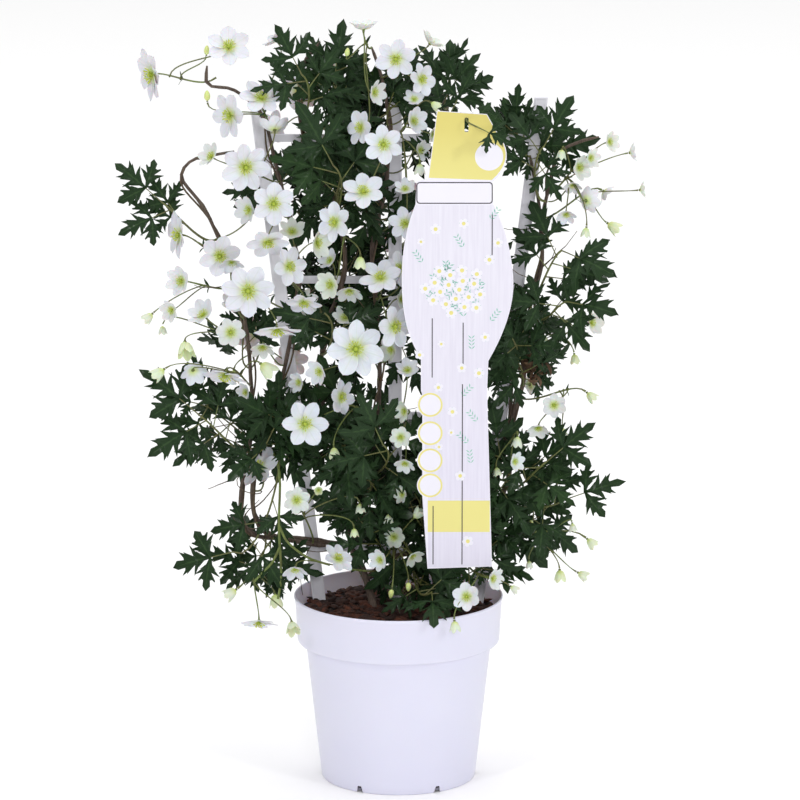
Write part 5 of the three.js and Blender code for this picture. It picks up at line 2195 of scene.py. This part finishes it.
@dataclass
class Studio:
    """A pale floor, soft light, and the camera that takes the photo."""

    floor: float = 12.0
    floor_white: int = 0xFDFDFD
    sky: float = 0.32
    camera_back: float = 5.0
    camera_high: float = 1.51
    pitch: float = 13.05
    lens: float = 255.8
    sensor: float = 36
    shift: float = 0.0019
    clip_end: float = 60

    def build(self) -> None:
        """Sets the stage."""
        scene = bpy.context.scene
        scene.view_settings.view_transform = "Standard"
        world = bpy.data.worlds.new("studio_world")
        world.use_nodes = True
        sky = world.node_tree.nodes["Background"]
        sky.inputs[0].default_value = (1, 1, 1, 1)
        sky.inputs[1].default_value = self.sky
        scene.world = world
        self.ground()
        for lamp in Lamp:
            lamp.hang()
        scene.camera = self.camera()

    def camera(self) -> bpy.types.Object:
        """Sets up the camera in front of the plant."""
        lens = bpy.data.cameras.new("camera")
        lens.lens = self.lens
        lens.sensor_width = self.sensor
        lens.shift_x = self.shift
        lens.clip_end = self.clip_end
        camera = to_object("camera", lens)
        camera.location = (0, -self.camera_back, self.camera_high)
        camera.rotation_euler = (math.radians(90 - self.pitch), 0, 0)
        return camera

    def ground(self) -> None:
        """Lays the floor."""
        bm = bmesh.new()
        bmesh.ops.create_grid(bm, x_segments=1, y_segments=1, size=self.floor / 2)
        mesh = to_mesh("floor", bm)
        mesh.materials.append(Recipe("floor_white", 0.7, Base_Color=paint(self.floor_white)).material)
        to_object("floor", mesh)


# Each spray's flowers: x, y and z of the centre, the span, the stage and the way it faces. The first
# flower's stalk carries the others.
SPRAYS: dict[str, tuple] = {
    "spray_star": ((-219, 0, 649, 50, "open", "LLF"), (-151, -4, 674, 42, "open", "FU"),
        (-171, -2, 667, 10, "bud", "U")),
    "spray_crown_left": ((-122, -22, 631, 42, "open", "FU"), (-149, -28, 617, 44, "open", "FL"),
        (-170, -16, 628, 11, "bud", "U"), (-109, -14, 682, 26, "half", "UL")),
    "spray_shoulder": ((-136, -32, 571, 46, "open", "F"), (-166, -26, 579, 28, "half", "FLU"),
        (-110, -28, 604, 32, "half", "BU")),
    "spray_heart": ((-111, -42, 540, 41, "open", "F"), (-116, -44, 506, 40, "open", "FD")),
    "spray_inner_left": ((-98, -38, 482, 38, "open", "FR"), (-73, -36, 503, 32, "half", "FR"),
        (-84, -48, 452, 34, "open", "FD")),
    "spray_left_side": ((-196, -10, 505, 44, "open", "LLF"), (-160, -20, 488, 39, "open", "F")),
    "spray_big_left": ((-134, -52, 463, 50, "open", "F"), (-108, -60, 430, 44, "open", "FDD")),
    "spray_left_cup": ((-194, -20, 465, 31, "half", "FL"), (-203, -18, 438, 24, "half", "LF"),
        (-221, -16, 434, 18, "bell", "LD")),
    "spray_left_mid": ((-174, -36, 437, 32, "half", "FLU"), (-150, -38, 422, 31, "half", "F"),
        (-191, -34, 412, 28, "bell", "DF")),
    "spray_left_low": ((-155, -40, 384, 42, "open", "DDF"), (-184, -34, 386, 28, "half", "BD"),
        (-210, -38, 388, 22, "bell", "LD"), (-123, -42, 394, 28, "bell", "DR")),
    "spray_crest": ((-31, -14, 692, 30, "half", "U"), (-22, -24, 637, 27, "half", "FR"),
        (-33, -30, 606, 34, "open", "FL"), (-46, -16, 668, 9, "bud", "U")),
    "spray_top": ((-2, -30, 668, 38, "open", "F"), (28, -20, 680, 28, "half", "RU"),
        (20, -34, 650, 32, "open", "FR")),
    "spray_mid": ((-13, -46, 594, 38, "open", "F"), (-31, -46, 551, 40, "open", "FU")),
    "spray_card_edge": ((13, -34, 613, 28, "half", "FR"), (30, -34, 601, 18, "half", "FR"),
        (29, -32, 629, 16, "bell", "RD"), (19, -38, 575, 18, "bell", "D"),
        (6, -40, 552, 23, "half", "FU"), (6, -42, 522, 32, "open", "F")),
    "spray_mid_left": ((-56, -42, 523, 38, "open", "FL"), (-34, -44, 492, 20, "bell", "D"),
        (-60, -40, 466, 30, "half", "LF")),
    "spray_centre": ((-16, -46, 473, 40, "open", "FU"), (-4, -50, 430, 42, "open", "FR")),
    "spray_largest": ((-38, -52, 410, 54, "open", "F"), (-70, -46, 388, 28, "half", "FL")),
    "spray_lower_mid": ((-52, -44, 364, 34, "open", "FR"), (-84, -48, 340, 44, "open", "F"),
        (-58, -42, 317, 18, "bell", "D")),
    "spray_alone": ((-126, -14, 291, 44, "open", "FLU"),),
    "spray_lower": ((-92, -32, 266, 29, "half", "F"), (-72, -30, 275, 14, "bell", "F"),
        (-35, -30, 262, 16, "bell", "D"), (-40, -34, 240, 14, "bell", "D")),
    "spray_foot": ((-55, -44, 214, 33, "open", "FRU"), (-93, -42, 205, 27, "half", "FD")),
    "spray_over_rim": ((-147, -30, 182, 22, "bell", "LD"), (-126, -44, 156, 36, "open", "FDD"),
        (-112, -24, 176, 22, "bell", "D"), (-96, -62, 160, 23, "bell", "DF")),
    "spray_by_card": ((-4, -40, 232, 24, "half", "F"), (-16, -42, 213, 24, "half", "FL"),
        (12, -42, 217, 23, "half", "FRD"), (9, -46, 193, 10, "bud", "D"), (-6, -48, 187, 10, "bud", "D"),
        (14, -38, 250, 20, "bell", "UR")),
    "spray_card_side": ((6, -40, 350, 23, "half", "FL"), (2, -44, 327, 23, "half", "F"),
        (6, -38, 302, 22, "half", "FD"), (8, -44, 388, 25, "half", "FU")),
    "spray_right_top": ((161, -2, 565, 27, "half", "FR"), (146, -6, 582, 16, "bell", "D"),
        (188, -2, 588, 22, "half", "RF"), (207, 0, 578, 20, "half", "R"),
        (168, -8, 536, 28, "half", "BR"), (150, -8, 524, 22, "half", "FD"),
        (168, -6, 511, 16, "bell", "D")),
    "spray_right_tip": ((184, 10, 541, 21, "half", "RD"), (188, 8, 512, 22, "bell", "RD"),
        (216, 6, 543, 18, "half", "R")),
    "spray_right_upper": ((173, -8, 424, 27, "half", "RF"), (158, -12, 396, 16, "bell", "D"),
        (132, -14, 411, 20, "bell", "DF"), (120, -12, 436, 12, "bud", "F")),
    "spray_right_mid": ((170, -10, 360, 18, "bell", "RD"), (140, -16, 350, 26, "half", "F"),
        (126, -18, 330, 24, "half", "FD"), (148, -12, 328, 14, "bell", "D")),
    "spray_card_right": ((107, -34, 325, 18, "bell", "D"), (104, -38, 303, 21, "half", "FR"),
        (88, -32, 296, 14, "bell", "D")),
    "spray_right_low": ((171, -18, 226, 18, "bell", "RD"), (157, -14, 240, 14, "bell", "D"),
        (146, -18, 197, 20, "bell", "D"), (163, -12, 193, 18, "bell", "RD"),
        (120, -16, 237, 8, "bud", "U"), (118, -20, 206, 12, "bell", "D")),
    "spray_front_rim": ((84, -66, 202, 24, "half", "FR"), (101, -74, 196, 14, "bell", "RD"),
        (61, -84, 190, 30, "half", "F"), (50, -104, 172, 18, "bell", "D")),
    "spray_back_top": ((-90, 62, 622, 40, "open", "B"), (-58, 58, 640, 28, "half", "BU"),
        (-112, 64, 588, 36, "open", "BL")),
    "spray_back_mid": ((10, 66, 520, 40, "open", "B"), (44, 62, 494, 32, "half", "BR"),
        (-20, 70, 486, 36, "open", "BD")),
    "spray_back_left": ((-130, 60, 400, 42, "open", "BL"), (-98, 66, 372, 34, "open", "B"),
        (-150, 56, 366, 22, "bell", "D")),
    "spray_back_right": ((96, 62, 380, 36, "open", "B"), (120, 58, 352, 26, "half", "BR"),
        (74, 64, 346, 22, "bell", "BD")),
    "spray_back_low": ((-30, 68, 262, 36, "open", "B"), (8, 64, 236, 24, "half", "BD")),
}

# Smaller flowers that fill the gaps between the sprays.
LOOSE = (
    (-146, -24, 444, 30, "half", "FU"), (-137, -16, 362, 20, "half", "LF"),
    (2, -22, 477, 34, "open", "FL"), (-44, -26, 458, 28, "half", "FD"),
    (14, -12, 628, 22, "half", "FU"), (-86, -18, 445, 30, "half", "FR"),
    (-212, -8, 421, 14, "bell", "D"), (-61, -14, 482, 24, "half", "LFU"),
    (2, -22, 449, 24, "half", "FR"), (-89, -20, 372, 22, "half", "FL"),
    (-9, -22, 250, 16, "bell", "D"), (4, -26, 270, 20, "half", "FL"),
    (-133, -16, 529, 30, "half", "FL"), (-95, -18, 509, 28, "half", "FU"),
    (-149, -22, 483, 26, "half", "FD"), (-6, -24, 403, 26, "half", "FL"),
    (19, -20, 584, 22, "half", "FR"), (-48, -20, 431, 26, "half", "FU"),
    (-122, -24, 406, 26, "half", "FD"), (171, -4, 574, 22, "half", "FR"),
    (156, 0, 549, 20, "half", "FD"),
)

# Each shoot's tip, the length of its leaves, and how many there are.
SHOOTS: dict[str, tuple] = {
    "shoot_top_left": ((-86, -18, 652), 52, 5),
    "shoot_top_mid": ((-58, -6, 640), 58, 5),
    "shoot_crown": ((-58, -30, 572), 66, 5),
    "shoot_card_top": ((46, -26, 618), 46, 4),
    "shoot_right_top": ((130, -10, 586), 50, 5),
    "shoot_right_upper": ((146, -16, 492), 60, 5),
    "shoot_right_mid": ((150, -18, 446), 58, 4),
    "shoot_right_low": ((134, -24, 300), 56, 4),
    "shoot_right_foot": ((150, -16, 262), 56, 4),
    "shoot_left_upper": ((-212, -6, 534), 54, 4),
    "shoot_left_mid": ((-180, -26, 344), 64, 5),
    "shoot_centre_left": ((-66, -40, 440), 58, 4),
    "shoot_centre": ((-14, -44, 320), 64, 5),
    "shoot_left_foot": ((-150, -26, 216), 58, 4),
    "shoot_front": ((30, -54, 186), 54, 5),
    "shoot_back_upper": ((-10, 66, 590), 64, 4),
    "shoot_back_mid": ((-50, 66, 430), 66, 4),
    "shoot_back_right": ((70, 66, 430), 62, 4),
}
CARRIER = "shoot_card_carrier"


def main() -> None:
    """Builds and logs every piece."""
    logging.basicConfig(level=logging.INFO, format="%(message)s", stream=sys.stdout)
    noise.seed_set(WANDER_SEED)
    vines = WoodyStems()
    for made in (Pot(), Soil(), Trellis(), CardTag(), vines):
        made.build()
    stamen = stamen_mesh()
    for number, (name, flowers) in enumerate(SPRAYS.items()):
        Spray(vines, name, number, [Flower(*flower) for flower in flowers]).build(stamen)
    loose = [Flower(*flower) for flower in LOOSE]
    LooseSpray(vines, "loose_flowers", len(SPRAYS), loose).build(stamen)
    for name, (tip, length, count) in SHOOTS.items():
        Shoot(vines, name, tip, length, count).build()
    CarrierShoot(vines, CARRIER, (69, -76, 615), 36, 2, runs=12).build()
    Filling(vines).build()
    Studio().build()


if __name__ == "__main__":
    main()
